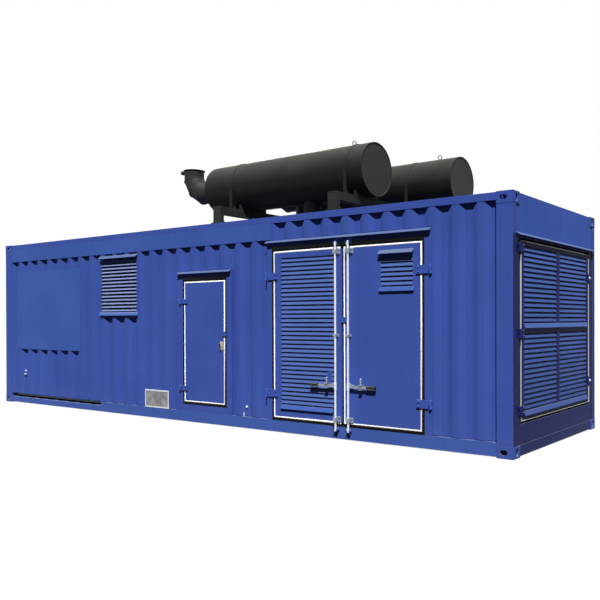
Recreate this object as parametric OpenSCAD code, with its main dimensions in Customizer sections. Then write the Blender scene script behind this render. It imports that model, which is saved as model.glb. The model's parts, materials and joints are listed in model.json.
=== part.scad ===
// Containerized diesel generator: a steel freight-type container with
// louvred doors along one side, a louvred door in one end and two
// exhaust silencers on its roof. Millimetres, +Z up, origin under the centre.

/* [Container] */
// Length over the corner castings
container_l = 9125; // [9000:5:9300]
// Width over the corner castings
container_w = 2438; // [2400:2:2500]
// Height over the corner castings
container_h = 2591; // [2560:1:2700]
// Steel thickness of the corrugated sheets
sheet_t = 4; // [2:1:8]

/* [Corner castings] */
// Length of a corner casting along the container
casting_l = 178; // [170:1:190]
// Width of a corner casting across the container
casting_w = 162; // [155:1:175]
// Height of a corner casting
casting_h = 118; // [110:1:130]
// Wall of a corner casting
casting_wall = 18; // [12:1:24]
// Length of the lifting and locking apertures
aperture_l = 124; // [118:1:130]
// Width of the lifting and locking apertures
aperture_w = 63.5; // [60:0.5:66]
// Length of the lashing apertures in the side and end faces
lash_l = 79; // [70:1:84]
// Width of the lashing apertures in the side and end faces
lash_w = 51; // [45:1:56]
// Distance of a locking aperture's centre from the container's end
aperture_end = 103.5; // [100:0.5:106]
// Distance of a locking aperture's centre from the container's side
aperture_side = 89.5; // [86:0.5:92]
// How far the castings stand below the rails
casting_drop = 12; // [8:1:16]
// How far the castings stand above the rails
casting_rise = 6; // [4:1:10]

/* [Frame] */
// Width of a corner post's face on the end
post_end = 80; // [70:1:100]
// Steel thickness of the corner posts
post_t = 6; // [4:1:10]
// Depth of the folded edges of the corner posts
post_return = 40; // [32:1:48]
// Height of the top side rails
top_rail_h = 77; // [60:1:90]
// Width of the top rails
top_rail_w = 60; // [50:1:80]
// Wall of the rails
rail_t = 6; // [4:1:8]
// Height of the bottom side rails
bottom_rail_h = 138; // [120:1:150]
// Width of the bottom rails' flanges
bottom_rail_w = 65; // [55:1:80]
// Height of the low rail under the cable entry
entry_rail_h = 84; // [70:1:100]
// Distance of the cable entry's inner end from the container's left end
entry_l = 2605; // [2400:5:2800]
// Setback of rails and door frames behind the castings' faces
face_inset = 4; // [2:1:8]
// Setback of the end door and end wall behind the castings' faces
end_inset = 10; // [6:1:20]
// Thickness of the floor plate
floor_t = 28; // [20:1:36]
// Height of the floor bearers
bearer_h = 92; // [80:1:100]
// Width of a floor bearer
bearer_w = 45; // [40:1:60]
// Number of floor bearers
bearer_count = 16; // [10:1:20]

/* [Corrugated walls] */
// Pitch of the wall corrugation
corr_pitch = 278.5; // [270:0.5:290]
// Run of one sloping flank
corr_slope = 68; // [60:1:75]
// Width of a recess's flat bottom
corr_trough = 70; // [60:1:80]
// Depth of a recess
corr_depth = 36; // [25:1:45]
// Place of the first recess right of the container's centre
corr_origin = 75; // [0:1:270]
// Pitch of the roof's ribs
roof_pitch = 209; // [190:1:230]
// Depth of the roof's ribs
roof_depth = 18; // [10:1:24]
// How far the roof's crests lie below the rails' tops
roof_drop = 6; // [4:1:10]

/* [Cover plates] */
// Thickness of the flat plates on the front wall
cover_t = 3; // [2:1:4]
// Height of the header band under the top rail
band_h = 200; // [150:5:200]
// Distance of the header band's right end from the double door's seal
band_gap = 29; // [20:1:100]
// Place of the blank panel's left edge along the container
blank_left_share = 0.0375; // [0.03:0.0005:0.05]
// Place of the blank panel's right edge along the container
blank_right_share = 0.2304; // [0.21:0.0001:0.24]
// Distance of the blank panel's top from the top side rail
blank_drop = 380; // [300:1:420]
// Height of the blank panel
blank_h = 1245; // [1100:5:1300]
// Distance of the small bare plate from the personnel door's seal
plate_gap = 313; // [280:1:360]
// Width of the small bare plate
plate_w = 495; // [450:5:540]
// Height of the small bare plate
plate_h = 245; // [200:5:280]
// Width of the small bare plate's raised border
plate_border = 28; // [20:1:36]

/* [Doors] */
// Place of the personnel door's middle along the container
pd_share = 0.5281; // [0.522:0.0001:0.532]
// Width of the personnel door over its seal
pd_w = 770; // [740:1:790]
// Bottom of the personnel door above ground
pd_z = 267; // [240:1:300]
// Height of the personnel door over its seal
pd_h = 1589; // [1500:1:1640]
// Place of the double door's middle along the container
dd_share = 0.7748; // [0.772:0.0001:0.778]
// Width of the left leaf over its seal
left_leaf_w = 1025; // [990:1:1034]
// Width of the right leaf over its seal
right_leaf_w = 1026; // [980:1:1040]
// Gap between the two leaves
leaf_gap = 28; // [24:1:36]
// Bottom of the double door above ground
dd_z = 178; // [176:1:200]
// Distance of the double door's seal from the top side rail
dd_drop = 341; // [320:1:420]
// Width of the end door's jambs
end_jamb_w = 99; // [90:1:120]
// Bottom of the end door above ground
ed_z = 340; // [320:1:380]
// Distance of the end door's seal from the top castings
ed_drop = 343; // [300:1:420]
// Thickness of the door leaves
leaf_t = 50; // [40:1:60]
// Width of the rubber seal round a leaf
seal_w = 18; // [10:1:20]
// Gap between a seal and the door frame
door_gap = 20; // [16:1:22]
// Width of the door jambs
jamb_w = 90; // [80:1:110]
// Height of the door heads
head_h = 110; // [100:1:115]
// Depth of the door frames
jamb_d = 70; // [60:1:90]

/* [Louvres] */
// Steel thickness of the slats, measured upright
slat_t = 6; // [4:1:8]
// How far a door's slat leans in from its foot to its top
door_slat_lean = 12; // [10:1:18]
// How far a side louvre's slat leans in from its foot to its top
side_slat_lean = 32; // [20:1:34]
// Place of the side louvre's middle along the container
side_louvre_share = 0.3322; // [0.328:0.0001:0.336]
// Width of the side louvre
side_louvre_w = 814; // [780:1:850]
// Distance of the side louvre from the top side rail
side_louvre_drop = 330; // [324:1:380]
// Height of the side louvre
side_louvre_h = 715; // [700:1:760]
// Number of slats in the side louvre
side_slats = 14; // [10:1:15]
// Width of the side louvre's border
louvre_border = 30; // [20:1:40]
// Number of slats in the left leaf
leaf_slats = 34; // [28:1:36]
// Solid edge of the left leaf at its hinge side
leaf_edge_hinge = 120; // [100:1:140]
// Solid edge of the left leaf at its lock side
leaf_edge_lock = 108; // [90:1:116]
// Solid edge of the left leaf at its foot
leaf_edge_foot = 166; // [150:1:180]
// Solid edge of the left leaf at its top
leaf_edge_top = 88; // [60:1:100]
// Width of the right leaf's small louvre
small_louvre_w = 409; // [360:1:440]
// Height of the right leaf's small louvre
small_louvre_h = 311; // [290:1:340]
// Distance of the small louvre from the right leaf's hinge edge
small_louvre_side = 114; // [90:1:140]
// Distance of the small louvre from the right leaf's top edge
small_louvre_top = 155; // [145:1:190]
// Number of slats in the small louvre
small_slats = 6; // [5:1:7]
// Number of slats in each of the end door's four louvres
end_slats = 15; // [10:1:16]
// Solid edge of the end door at its sides
end_edge_side = 85; // [70:1:100]
// Solid edge of the end door at its foot
end_edge_foot = 101; // [90:1:130]
// Solid edge of the end door at its top
end_edge_top = 54; // [40:1:70]
// Width of the end door's upright middle bar
end_bar = 80; // [60:1:100]
// Height of the end door's level middle bar
end_level_bar = 101; // [90:1:120]

/* [Hoods] */
// How far the door hoods stand out
hood_d = 40; // [32:1:50]
// How far the door hoods slope down
hood_drop = 28; // [20:1:36]
// Steel thickness of the rain hoods
hood_t = 4; // [3:1:6]
// How far a door hood reaches past the door's seal
hood_side = 110; // [60:1:115]
// Height of the end door's hood above the door's seal
end_hood_rise = 70; // [60:1:100]
// How far the louvre hoods stand out
louvre_hood_d = 44; // [32:1:50]
// How far the louvre hoods slope down
louvre_hood_drop = 42; // [30:1:50]
// Height of the side louvre's hood above its opening
side_hood_rise = 105; // [90:1:118]
// Height of the small louvre's hood above its opening
small_hood_rise = 84; // [70:1:100]
// How far the sills under the louvres stand out
sill_d = 20; // [12:1:24]
// Height of the sills under the louvres
sill_h = 50; // [40:1:60]

/* [Hinges] */
// Outer radius of a hinge knuckle
knuckle_r = 14; // [11:1:16]
// Radius of a hinge pin
pin_r = 7; // [5:0.5:8]
// Running clearance round pins and rods
run_clear = 0.3; // [0.3:0.1:0.6]
// Height of the large doors' hinges
hinge_h = 90; // [70:1:110]
// Height of the personnel door's hinges
pd_hinge_h = 63; // [54:1:80]
// Thickness of a hinge strap
strap_t = 8; // [6:1:10]
// Length of a hinge strap on the leaf
strap_l = 70; // [50:1:78]
// Distance of the personnel door's pin from its seal
pd_pin = 66; // [60:1:80]
// Distance of the double door's pins from its seal
dd_pin = 105; // [90:1:108]
// Distance of the end door's pin from its seal
ed_pin = 45; // [40:1:60]

/* [Lock rods] */
// Radius of a lock rod
rod_r = 13; // [10:1:15]
// Distance of a rod's axis from the leaf's face
rod_off = 33; // [30:1:38]
// Distance of the left rod from the left leaf's lock edge
left_rod_edge = 62; // [58:1:76]
// Distance of the right rod from the right leaf's lock edge
right_rod_edge = 88; // [76:1:96]
// Height of the rods' feet above ground
rod_foot = 100; // [90:1:110]
// Height of the handles above ground
handle_z = 606; // [560:1:660]
// Length of a handle from the rod's axis
handle_l = 362; // [320:1:400]
// Length of a handle's grip
grip_l = 110; // [80:1:130]
// Distance of the left handle's catch from the rod's axis
left_catch_l = 126; // [118:1:180]
// Distance of the right handle's catch from the rod's axis
right_catch_l = 172; // [118:1:180]

/* [Silencers] */
// Radius of the silencers
sil_r = 318; // [300:1:330]
// Length of a silencer
sil_l = 2600; // [2500:10:2650]
// Distance of each silencer's axis from the container's centre line
sil_y = 632; // [600:1:660]
// Place of the front silencer's right end along the container
sil_share = 0.7828; // [0.776:0.0001:0.788]
// How much further right the rear silencer lies
sil_shift = 461; // [430:1:480]
// Raised rim of a silencer's end plate
sil_rim = 8; // [5:1:12]
// Distance between the support beams
beam_span = 1865; // [1800:5:1900]
// Distance of the right support beam from the front silencer's right end
beam_end = 216; // [190:1:240]
// Width of a support beam
beam_w = 130; // [110:1:150]
// Height of a support beam
beam_h = 95; // [80:1:110]
// Clear height between the roof rails and the support beams
beam_gap = 120; // [100:1:140]
// Steel thickness of the saddles on the beams
saddle_t = 12; // [8:1:16]
// Height of the saddles on the beams
saddle_h = 60; // [40:1:80]
// Width of a strap round a silencer
band_w = 40; // [30:1:50]
// Thickness of a strap round a silencer
band_t = 5; // [4:1:8]

/* [Exhaust pipes] */
// Outer radius of the exhaust pipes
pipe_r = 136.5; // [120:0.5:145]
// Wall of the exhaust pipes
pipe_t = 6; // [4:1:8]
// Bend radius of the mitred elbows
elbow_r = 290; // [280:1:320]
// Length of the straight pipe between silencer and elbow
stub_l = 277; // [240:1:300]
// Length of the upright pipe above the elbow
outlet_l = 50; // [40:1:70]
// Radius of the rain flap
flap_r = 150; // [145:1:160]
// Thickness of the rain flap
flap_t = 8; // [6:1:10]
// Gap between the rain flap and the pipe's rim
flap_gap = 5; // [5:0.5:8]
// Length of the counterweight's arm
weight_arm = 75; // [70:1:90]
// Radius of the counterweight
weight_r = 28; // [22:1:30]

/* [Hidden] */
$fn = 64;

// Overrun of every cut
overrun = 1;
blue = "#3C529D";
black = "#232423";
white = "#EDF0F5";
zinc = "#C8D0D8";

// Planes of the container
half_l = container_l / 2;
half_w = container_w / 2;
face_y = -(half_w - face_inset);
end_x = half_l - end_inset;
crest_inset = face_inset + cover_t;
crest_y = -(half_w - crest_inset);
post_inset = face_inset / 2;
rail_x = half_l - casting_l;
rail_y = half_w - casting_w;
post_y = half_w - post_end;
bottom_z = casting_drop;
wall_z = bottom_z + bottom_rail_h;
top_z = container_h - casting_rise;
eave_z = top_z - top_rail_h;
post_top = container_h - casting_h;
floor_top = wall_z;
floor_y = half_w - bottom_rail_w;
wall = [corr_origin, corr_pitch, corr_slope, corr_trough, corr_depth];
roof_slope = 40;
roof_trough = 60;
roof_wave = [0, roof_pitch, roof_slope, roof_trough, roof_depth];

// Door openings over their seals: left, right, foot, top
function place(share) = -half_l + container_l * share;
dd_half = (left_leaf_w + leaf_gap + right_leaf_w) / 2;
dd = [place(dd_share) - dd_half, place(dd_share) + dd_half, dd_z, eave_z - dd_drop];
ld = [dd[0], dd[0] + left_leaf_w, dd_z, eave_z - dd_drop];
rd = [dd[1] - right_leaf_w, dd[1], dd_z, eave_z - dd_drop];
pd = [place(pd_share) - pd_w / 2, place(pd_share) + pd_w / 2, pd_z, pd_z + pd_h];
ed = [-post_y + end_jamb_w + door_gap, post_y - end_jamb_w - door_gap, ed_z, post_top - ed_drop];
pd_frame = [pd[0] - door_gap - jamb_w, pd[1] + door_gap + jamb_w];
dd_frame = [dd[0] - door_gap - jamb_w, dd[1] + door_gap + jamb_w];
pd_head = [pd[3] + door_gap, pd[3] + door_gap + head_h];
dd_head = [dd[3] + door_gap, dd[3] + door_gap + head_h];

// Louvre openings: left, right, foot, top
side_louvre_x = place(side_louvre_share);
side_louvre_box = [side_louvre_x - side_louvre_w / 2, side_louvre_x + side_louvre_w / 2,
                   eave_z - side_louvre_drop - side_louvre_h, eave_z - side_louvre_drop];
leaf_louvre_box = [ld[0] + leaf_edge_hinge, ld[1] - leaf_edge_lock,
                   ld[2] + leaf_edge_foot, ld[3] - leaf_edge_top];
small_louvre_box = [rd[1] - small_louvre_side - small_louvre_w, rd[1] - small_louvre_side,
                    rd[3] - small_louvre_top - small_louvre_h, rd[3] - small_louvre_top];
end_mid_z = (ed[2] + end_edge_foot + ed[3] - end_edge_top) / 2;
end_louvre_boxes = [
    for (col = [[ed[0] + end_edge_side, -end_bar / 2], [end_bar / 2, ed[1] - end_edge_side]])
        for (row = [[ed[2] + end_edge_foot, end_mid_z - end_level_bar / 2],
                    [end_mid_z + end_level_bar / 2, ed[3] - end_edge_top]])
            [col[0], col[1], row[0], row[1]]];
slat_setback = 2;
slat_seat = 5;
slat_air = 1;
slat_foot = 11;

// Hinge places
knuckle_clear = 2;
hinge_off = knuckle_r + knuckle_clear;
hinge_end_clear = 1;
strap_clear = 5;
strap_wide_from = knuckle_r * 2;
pd_pin_x = pd[0] - pd_pin;
ld_pin_x = ld[0] - dd_pin;
rd_pin_x = rd[1] + dd_pin;
ed_pin_y = ed[0] - ed_pin;
pd_hinge_shares = [0.115, 0.836];
dd_hinge_shares = [0.147, 0.85];
ed_hinge_shares = [0.063, 0.485, 0.955];
ed_lug_shares = [0.15, 0.84];

// Lock rod places
rod_y = face_y - rod_off;
left_rod_x = ld[1] - left_rod_edge;
right_rod_x = rd[0] + right_rod_edge;
hood_under_clear = 40;
rod_top = dd_head[1] - hood_drop - hood_t - hood_under_clear;
cam_l = 24;
cam_w = 16;
cam_h = 16;
cam_set = 25;
keeper_t = 4;
keeper_w = 60;
keeper_h = 40;
shelf_set = 16;
shelf_t = 8;
shelf_lip = 4;
notch_clear = 5;
guide_t = 7;
guide_wall = 8;
// Guides: plate width and height, block width and height
end_guide = [100, 64, 46, 44];
mid_guide = [60, 34, 40, 24];
end_guide_shares = [0.027, 0.973];
mid_guide_share = 0.5;
hub_r = 17;
hub_h = 84;
gusset_l = 100;
handle_t = 8;
handle_h = 30;
grip_t = 16;
grip_h = 38;
catch_w = 44;
catch_clear = 7;
catch_t = 7;
catch_half = handle_h / 2 + catch_clear + catch_t;
catch_post_r = 10;
catch_post_h = 58;
catch_ball_r = 14;
catch_pad_w = 64;
catch_pad_out = 16;
catch_pad_rise = 170;

// Silencer places
sil_x = place(sil_share);
beam_foot = top_z + beam_gap;
beam_top = beam_foot + beam_h;
strap_clear_r = 0.3;
sil_z = beam_top + sil_r + strap_clear_r;
beam_xs = [sil_x - beam_end - beam_span, sil_x - beam_end];
post_foot_w = 220;
post_foot_t = 10;
saddle_reach_share = 0.75;
saddle_in_share = 0.25;
eye_r = 30;
eye_hole_r = 21;
eye_t = 11;
eye_collar_r = 18;
eye_collar_h = 12;
eye_end = 330;
joint_angle = 30;
weld_gap = 0.4;
inlet_share = 0.38;
inlet_r = 110;
inlet_flange_r = 160;
inlet_flange_t = 12;
elbow_x = sil_x - sil_l - stub_l - elbow_r;
rim_z = sil_z + elbow_r + outlet_l;

// Rain flap places, from the outlet's rim
flap_pin_r = 5;
flap_barrel_r = 10;
flap_barrel_w = 40;
flap_ear_t = 6;
flap_ear_set = 2;
flap_ear_drop = 25;
flap_seat = sqrt(pow(pipe_r, 2) - pow(flap_barrel_w / 2 + hinge_end_clear, 2));
flap_pin_off = flap_r + flap_gap + flap_barrel_r;
flap_pin_up = flap_gap + flap_t / 2;
weight_w = 36;

// Lugs and lock
lug_in = 45;
lug_out = 20;
lug_h = 62;
pd_lug_share = 0.569;
rd_lug_share = 0.588;
pd_lock_share = 0.473;
pd_lock_edge = 59;
lock_w = 44;
lock_h = 78;
lock_t = 12;
lock_knob_r = 15;
lock_knob_l = 38;

// Block between the low and high ends of three ranges
module block(x, y, z) {
    translate([x[0], y[0], z[0]])
        cube([x[1] - x[0], y[1] - y[0], z[1] - z[0]]);
}

// Mirror image kept beside the original
module both_ways(axis) {
    children();
    mirror(axis) children();
}

// How far a corrugated sheet lies behind its crests at place x
function wave_depth(x, w) =
    let (u = x - w[0] - w[1] * floor((x - w[0]) / w[1]))
    u < w[2] ? w[4] * u / w[2]
    : u < w[2] + w[3] ? w[4]
    : u < 2 * w[2] + w[3] ? w[4] * (2 * w[2] + w[3] - u) / w[2]
    : 0;

// Corners of a corrugated line between two places
function wave_line(x, w, y) = concat(
    [[x[0], y + wave_depth(x[0], w)]],
    [for (k = [floor((x[0] - w[0]) / w[1]) : ceil((x[1] - w[0]) / w[1])])
        for (bend = [[0, 0], [w[2], w[4]], [w[2] + w[3], w[4]], [2 * w[2] + w[3], 0]])
            let (at = w[0] + k * w[1] + bend[0])
            if (at > x[0] + overrun && at < x[1] - overrun) [at, y + bend[1]]],
    [[x[1], y + wave_depth(x[1], w)]]);

function reversed(list) = [for (i = [len(list) - 1 : -1 : 0]) list[i]];

// Outline of a corrugated sheet seen along its ribs
module wave_sheet(x, w, y, t) {
    polygon(concat(wave_line(x, w, y), reversed(wave_line(x, w, y + t))));
}

// Upright corrugated wall facing -Y
module corrugated_wall(x, z, y) {
    translate([0, 0, z[0]])
        linear_extrude(height = z[1] - z[0])
            wave_sheet(x, wall, y, sheet_t);
}

// Slot with round ends, long along X, cut along Z about the origin
module slot(l, w, h) {
    cube([l - w, w, h], center = true);
    for (side = [-1, 1])
        translate([side * (l - w) / 2, 0, 0])
            cylinder(r = w / 2, h = h, center = true);
}

// Steep slats that fill a louvre opening in a face looking to -Y
module slats(box, count, y, seat, lean) {
    pitch = (box[3] - box[2] - slat_foot) / count;
    rise = pitch - slat_t - slat_air;
    back = slat_setback + lean;
    for (i = [0 : count - 1])
        translate([box[0] - seat, y, box[2] + slat_foot + i * pitch + slat_air / 2])
            rotate([90, 0, 90])
                linear_extrude(height = box[1] - box[0] + 2 * seat)
                    polygon([[slat_setback, 0], [back, rise], [back, rise + slat_t],
                             [slat_setback, slat_t]]);
}

// Door leaf inside its seal, in a face looking to -Y
module leaf_slab(d, y) {
    block([d[0] + seal_w, d[1] - seal_w], [y, y + leaf_t], [d[2] + seal_w, d[3] - seal_w]);
}

// Seal round a door leaf
module leaf_seal(d, y) {
    difference() {
        block([d[0], d[1]], [y, y + leaf_t / 2], [d[2], d[3]]);
        block([d[0] + seal_w, d[1] - seal_w], [y - overrun, y + leaf_t],
              [d[2] + seal_w, d[3] - seal_w]);
    }
}

function along(range, share) = range[0] + (range[1] - range[0]) * share;

// Fixed half of a hinge: two knuckles on pads, and the pin
module fixed_hinge(pin_x, z, face, h) {
    third = h / 3;
    translate([pin_x, face - hinge_off, z - h / 2]) {
        cylinder(r = pin_r, h = h);
        for (low = [0, 2 * third])
            translate([0, 0, low]) {
                cylinder(r = knuckle_r, h = third);
                block([-knuckle_r, knuckle_r], [0, hinge_off], [0, third]);
            }
    }
}

// Moving half of a hinge: a knuckle and a strap that reaches the leaf
module moving_hinge(pin_x, z, face, side, reach, h) {
    third = h / 3;
    translate([pin_x, face, z])
        difference() {
            union() {
                translate([0, -hinge_off, 0])
                    cylinder(r = knuckle_r, h = third - 2 * hinge_end_clear, center = true);
                scale_side(side) {
                    block([0, reach + strap_l], [-strap_clear - strap_t, -strap_clear],
                          [-third / 2 + hinge_end_clear, third / 2 - hinge_end_clear]);
                    block([strap_wide_from, reach + strap_l], [-strap_clear - strap_t, -strap_clear],
                          [-h / 2, h / 2]);
                    block([reach + seal_w, reach + strap_l], [-strap_clear, 0],
                          [-h / 2, h / 2]);
                }
            }
            translate([0, -hinge_off, 0])
                cylinder(r = pin_r + run_clear, h = h, center = true);
        }
}

// Children kept as they are for side 1, mirrored left to right for side -1
module scale_side(side) {
    mirror([side < 0 ? 1 : 0, 0, 0]) children();
}

// Shapes drawn facing -Y, turned to the container's right end
module on_right_end() {
    rotate([0, 0, 90]) children();
}

// Profile drawn as distance out of a face and height, run along X between two places
module face_strip(x, face, z, outline) {
    translate([x[0], face, z])
        rotate([90, 0, 90])
            linear_extrude(height = x[1] - x[0])
                polygon([for (p = outline) [-p[0], p[1]]]);
}

// Sloping rain hood below its seam with a face looking to -Y
module hood(x, z, face, depth, drop) {
    face_strip(x, face, z, [[0, 0], [depth, -drop], [depth, -drop - hood_t], [0, -hood_t]]);
}

// Sloping sill under a louvre in a face looking to -Y
module sill(x, z, face) {
    face_strip(x, face, z, [[0, 0], [sill_d, -sill_h + hood_t], [sill_d, -sill_h], [0, -sill_h]]);
}

module corner_castings() {
    color(blue)
        both_ways([1, 0, 0])
            both_ways([0, 1, 0])
                for (z = [0, container_h - casting_h])
                    difference() {
                        block([half_l - casting_l, half_l], [half_w - casting_w, half_w],
                              [z, z + casting_h]);
                        block([half_l - casting_l + casting_wall, half_l - casting_wall],
                              [half_w - casting_w + casting_wall, half_w - casting_wall],
                              [z + casting_wall, z + casting_h - casting_wall]);
                        translate([half_l - aperture_end, half_w - aperture_side,
                                   z > 0 ? z + casting_h : z])
                            slot(aperture_l, aperture_w, 2 * casting_wall + overrun);
                        translate([half_l - aperture_end, half_w, z + casting_h / 2])
                            rotate([90, 0, 0])
                                slot(lash_l, lash_w, 2 * casting_wall + overrun);
                        translate([half_l, half_w - aperture_side, z + casting_h / 2])
                            rotate([0, 90, 0])
                                slot(lash_l, lash_w, 2 * casting_wall + overrun);
                    }
}

// Folded corner post: faces to the side and the end, with returned edges
module post_outline() {
    polygon([[0, 0], [0, post_end - post_inset], [-post_return, post_end - post_inset],
             [-post_return, post_end - post_inset - post_t], [-post_t, post_end - post_inset - post_t],
             [-post_t, post_t], [-casting_l + post_inset + post_t, post_t],
             [-casting_l + post_inset + post_t, post_return],
             [-casting_l + post_inset, post_return], [-casting_l + post_inset, 0]]);
}

module corner_posts() {
    color(blue)
        both_ways([1, 0, 0])
            both_ways([0, 1, 0])
                translate([half_l - post_inset, -half_w + post_inset, casting_h])
                    linear_extrude(height = post_top - casting_h)
                        post_outline();
}

module top_side_rails() {
    color(blue)
        both_ways([0, 1, 0])
            difference() {
                block([-rail_x, rail_x], [face_y, face_y + top_rail_w], [eave_z, top_z]);
                block([-rail_x - overrun, rail_x + overrun],
                      [face_y + rail_t, face_y + top_rail_w - rail_t],
                      [eave_z + rail_t, top_z - rail_t]);
            }
}

// Channel along X with its web towards -Y
module side_channel(x, z) {
    difference() {
        block(x, [face_y, face_y + bottom_rail_w - face_inset], z);
        block([x[0] - overrun, x[1] + overrun], [face_y + rail_t, face_y + bottom_rail_w],
              [z[0] + rail_t, z[1] - rail_t]);
    }
}

module bottom_side_rails() {
    color(blue) {
        side_channel([-half_l + entry_l, rail_x], [bottom_z, wall_z]);
        side_channel([-rail_x, -half_l + entry_l], [bottom_z, bottom_z + entry_rail_h]);
        mirror([0, 1, 0]) side_channel([-rail_x, rail_x], [bottom_z, wall_z]);
    }
}

module end_rails() {
    color(blue)
        both_ways([1, 0, 0]) {
            block([half_l - end_inset - top_rail_w, half_l - end_inset], [-rail_y, rail_y],
                  [post_top, top_z]);
            block([half_l - end_inset - top_rail_w, half_l - face_inset], [-rail_y, rail_y],
                  [bottom_z, casting_h]);
        }
}

module floor() {
    color("#6B5B45")
        block([-end_x + jamb_d, end_x - jamb_d], [-floor_y, floor_y],
              [floor_top - floor_t, floor_top]);
}

module floor_bearers() {
    run = 2 * (rail_x - bearer_w);
    color(blue)
        for (i = [0 : bearer_count - 1])
            translate([-run / 2 + run * i / (bearer_count - 1) - bearer_w / 2, 0,
                       floor_top - floor_t - bearer_h])
                difference() {
                    block([0, bearer_w], [-floor_y, floor_y], [0, bearer_h]);
                    block([rail_t, bearer_w + overrun], [-floor_y - overrun, floor_y + overrun],
                          [rail_t, bearer_h - rail_t]);
                }
}

module roof() {
    reach = half_l - end_inset - top_rail_w;
    edge = half_w - face_inset - top_rail_w;
    color(blue)
        difference() {
            translate([0, edge, 0])
                rotate([90, 0, 0])
                    linear_extrude(height = 2 * edge)
                        mirror([0, 1, 0])
                            wave_sheet([-reach, reach], roof_wave, -top_z + roof_drop, sheet_t);
            both_ways([1, 0, 0])
                both_ways([0, 1, 0])
                    block([rail_x, half_l], [rail_y, half_w], [post_top, container_h]);
        }
}

module front_wall() {
    color(blue) {
        difference() {
            corrugated_wall([-rail_x, pd_frame[0]], [wall_z, eave_z], crest_y);
            block([side_louvre_box[0] - louvre_border / 2, side_louvre_box[1] + louvre_border / 2],
                  [crest_y - overrun, crest_y + corr_depth + sheet_t + overrun],
                  [side_louvre_box[2] - louvre_border / 2, side_louvre_box[3] + louvre_border / 2]);
        }
        corrugated_wall([pd_frame[1], dd_frame[0]], [wall_z, eave_z], crest_y);
        corrugated_wall([dd_frame[1], rail_x], [wall_z, eave_z], crest_y);
        corrugated_wall(pd_frame, [pd_head[1], eave_z], crest_y);
        corrugated_wall(dd_frame, [dd_head[1], eave_z], crest_y);
    }
}

module rear_wall() {
    color(blue)
        mirror([0, 1, 0])
            corrugated_wall([-rail_x, rail_x], [wall_z, eave_z], crest_y);
}

module left_end_wall() {
    color(blue)
        rotate([0, 0, -90])
            corrugated_wall([-post_y, post_y], [casting_h, post_top], -end_x);
}

module cover_panels() {
    color(blue) {
        block([-rail_x, dd[0] - band_gap], [crest_y - cover_t, crest_y], [eave_z - band_h, eave_z]);
        block([place(blank_left_share), place(blank_right_share)], [crest_y - cover_t, crest_y],
              [eave_z - blank_drop - blank_h, eave_z - blank_drop]);
    }
}

module bare_plate() {
    right = pd[0] - plate_gap;
    left = right - plate_w;
    color("#9C9C94")
        difference() {
            block([left, right], [crest_y - 2 * cover_t, crest_y], [wall_z, wall_z + plate_h]);
            block([left + plate_border, right - plate_border],
                  [crest_y - 2 * cover_t - overrun, crest_y - cover_t],
                  [wall_z + plate_border, wall_z + plate_h - plate_border]);
        }
}

module door_frames() {
    color(blue)
        for (door = [[pd_frame, pd_head, pd], [dd_frame, dd_head, dd]]) {
            inner = [door[0][0] + jamb_w, door[0][1] - jamb_w];
            depth = [face_y, face_y + jamb_d];
            for (x = [[door[0][0], inner[0]], [inner[1], door[0][1]]])
                block(x, depth, [wall_z, door[1][1]]);
            for (z = [door[1], [wall_z, door[2][2] - door_gap]])
                block(inner, depth, z);
        }
}

module end_door_frame() {
    depth = [-end_x, -end_x + jamb_d];
    color(blue)
        on_right_end() {
            both_ways([1, 0, 0])
                block([ed[1] + door_gap, post_y], depth, [casting_h, post_top]);
            for (z = [[ed[3] + door_gap, post_top], [casting_h, ed[2] - door_gap]])
                block([ed[0] - door_gap, ed[1] + door_gap], depth, z);
        }
}

module rain_hoods() {
    b = side_louvre_box;
    color(blue) {
        hood([pd[0] - hood_side, pd[1] + hood_side], pd_head[1], face_y, hood_d, hood_drop);
        hood([dd[0] - hood_side, dd[1] + hood_side], dd_head[1], face_y, hood_d, hood_drop);
        hood([b[0] - louvre_border, b[1] + louvre_border], b[3] + side_hood_rise, crest_y,
             louvre_hood_d, louvre_hood_drop);
        on_right_end()
            hood([ed[0] - hood_side, ed[1] + hood_side], ed[3] + end_hood_rise, -end_x,
                 hood_d, hood_drop);
    }
}

module side_louvre() {
    b = side_louvre_box;
    m = louvre_border / 2;
    color(blue) {
        difference() {
            union() {
                block([b[0] - louvre_border, b[1] + louvre_border], [crest_y - cover_t, crest_y],
                      [b[2] - sill_h - louvre_border, b[3] + louvre_border]);
                block([b[0] - m, b[1] + m], [crest_y - cover_t, crest_y + corr_depth + sheet_t],
                      [b[2] - m, b[3] + m]);
            }
            block([b[0], b[1]], [crest_y - cover_t - overrun, crest_y + corr_depth + sheet_t + overrun],
                  [b[2], b[3]]);
        }
        slats(b, side_slats, crest_y - cover_t, slat_seat, side_slat_lean);
        sill([b[0] - louvre_border, b[1] + louvre_border], b[2], crest_y - cover_t);
    }
}

module frame_hinges() {
    color(blue) {
        for (s = pd_hinge_shares)
            fixed_hinge(pd_pin_x, along([pd[2], pd[3]], s), face_y, pd_hinge_h);
        for (s = dd_hinge_shares) {
            fixed_hinge(ld_pin_x, along([dd[2], dd[3]], s), face_y, hinge_h);
            fixed_hinge(rd_pin_x, along([dd[2], dd[3]], s), face_y, hinge_h);
        }
        on_right_end()
            for (s = ed_hinge_shares)
                fixed_hinge(ed_pin_y, along([ed[2], ed[3]], s), -end_x, hinge_h);
    }
}

// Keeper for a rod's end: a plate on the frame and a shelf with an open notch
module keeper(x, z) {
    notch = rod_r + notch_clear;
    out = -rod_off - rod_r - shelf_lip;
    translate([x, face_y, z]) {
        block([-keeper_w / 2, keeper_w / 2], [-keeper_t, 0], [-keeper_h / 2, keeper_h / 2]);
        difference() {
            block([-keeper_w / 2, keeper_w / 2], [out, -keeper_t], [-shelf_t / 2, shelf_t / 2]);
            block([-notch, notch], [out - overrun, -rod_off + notch], [-shelf_t, shelf_t]);
        }
    }
}

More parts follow.
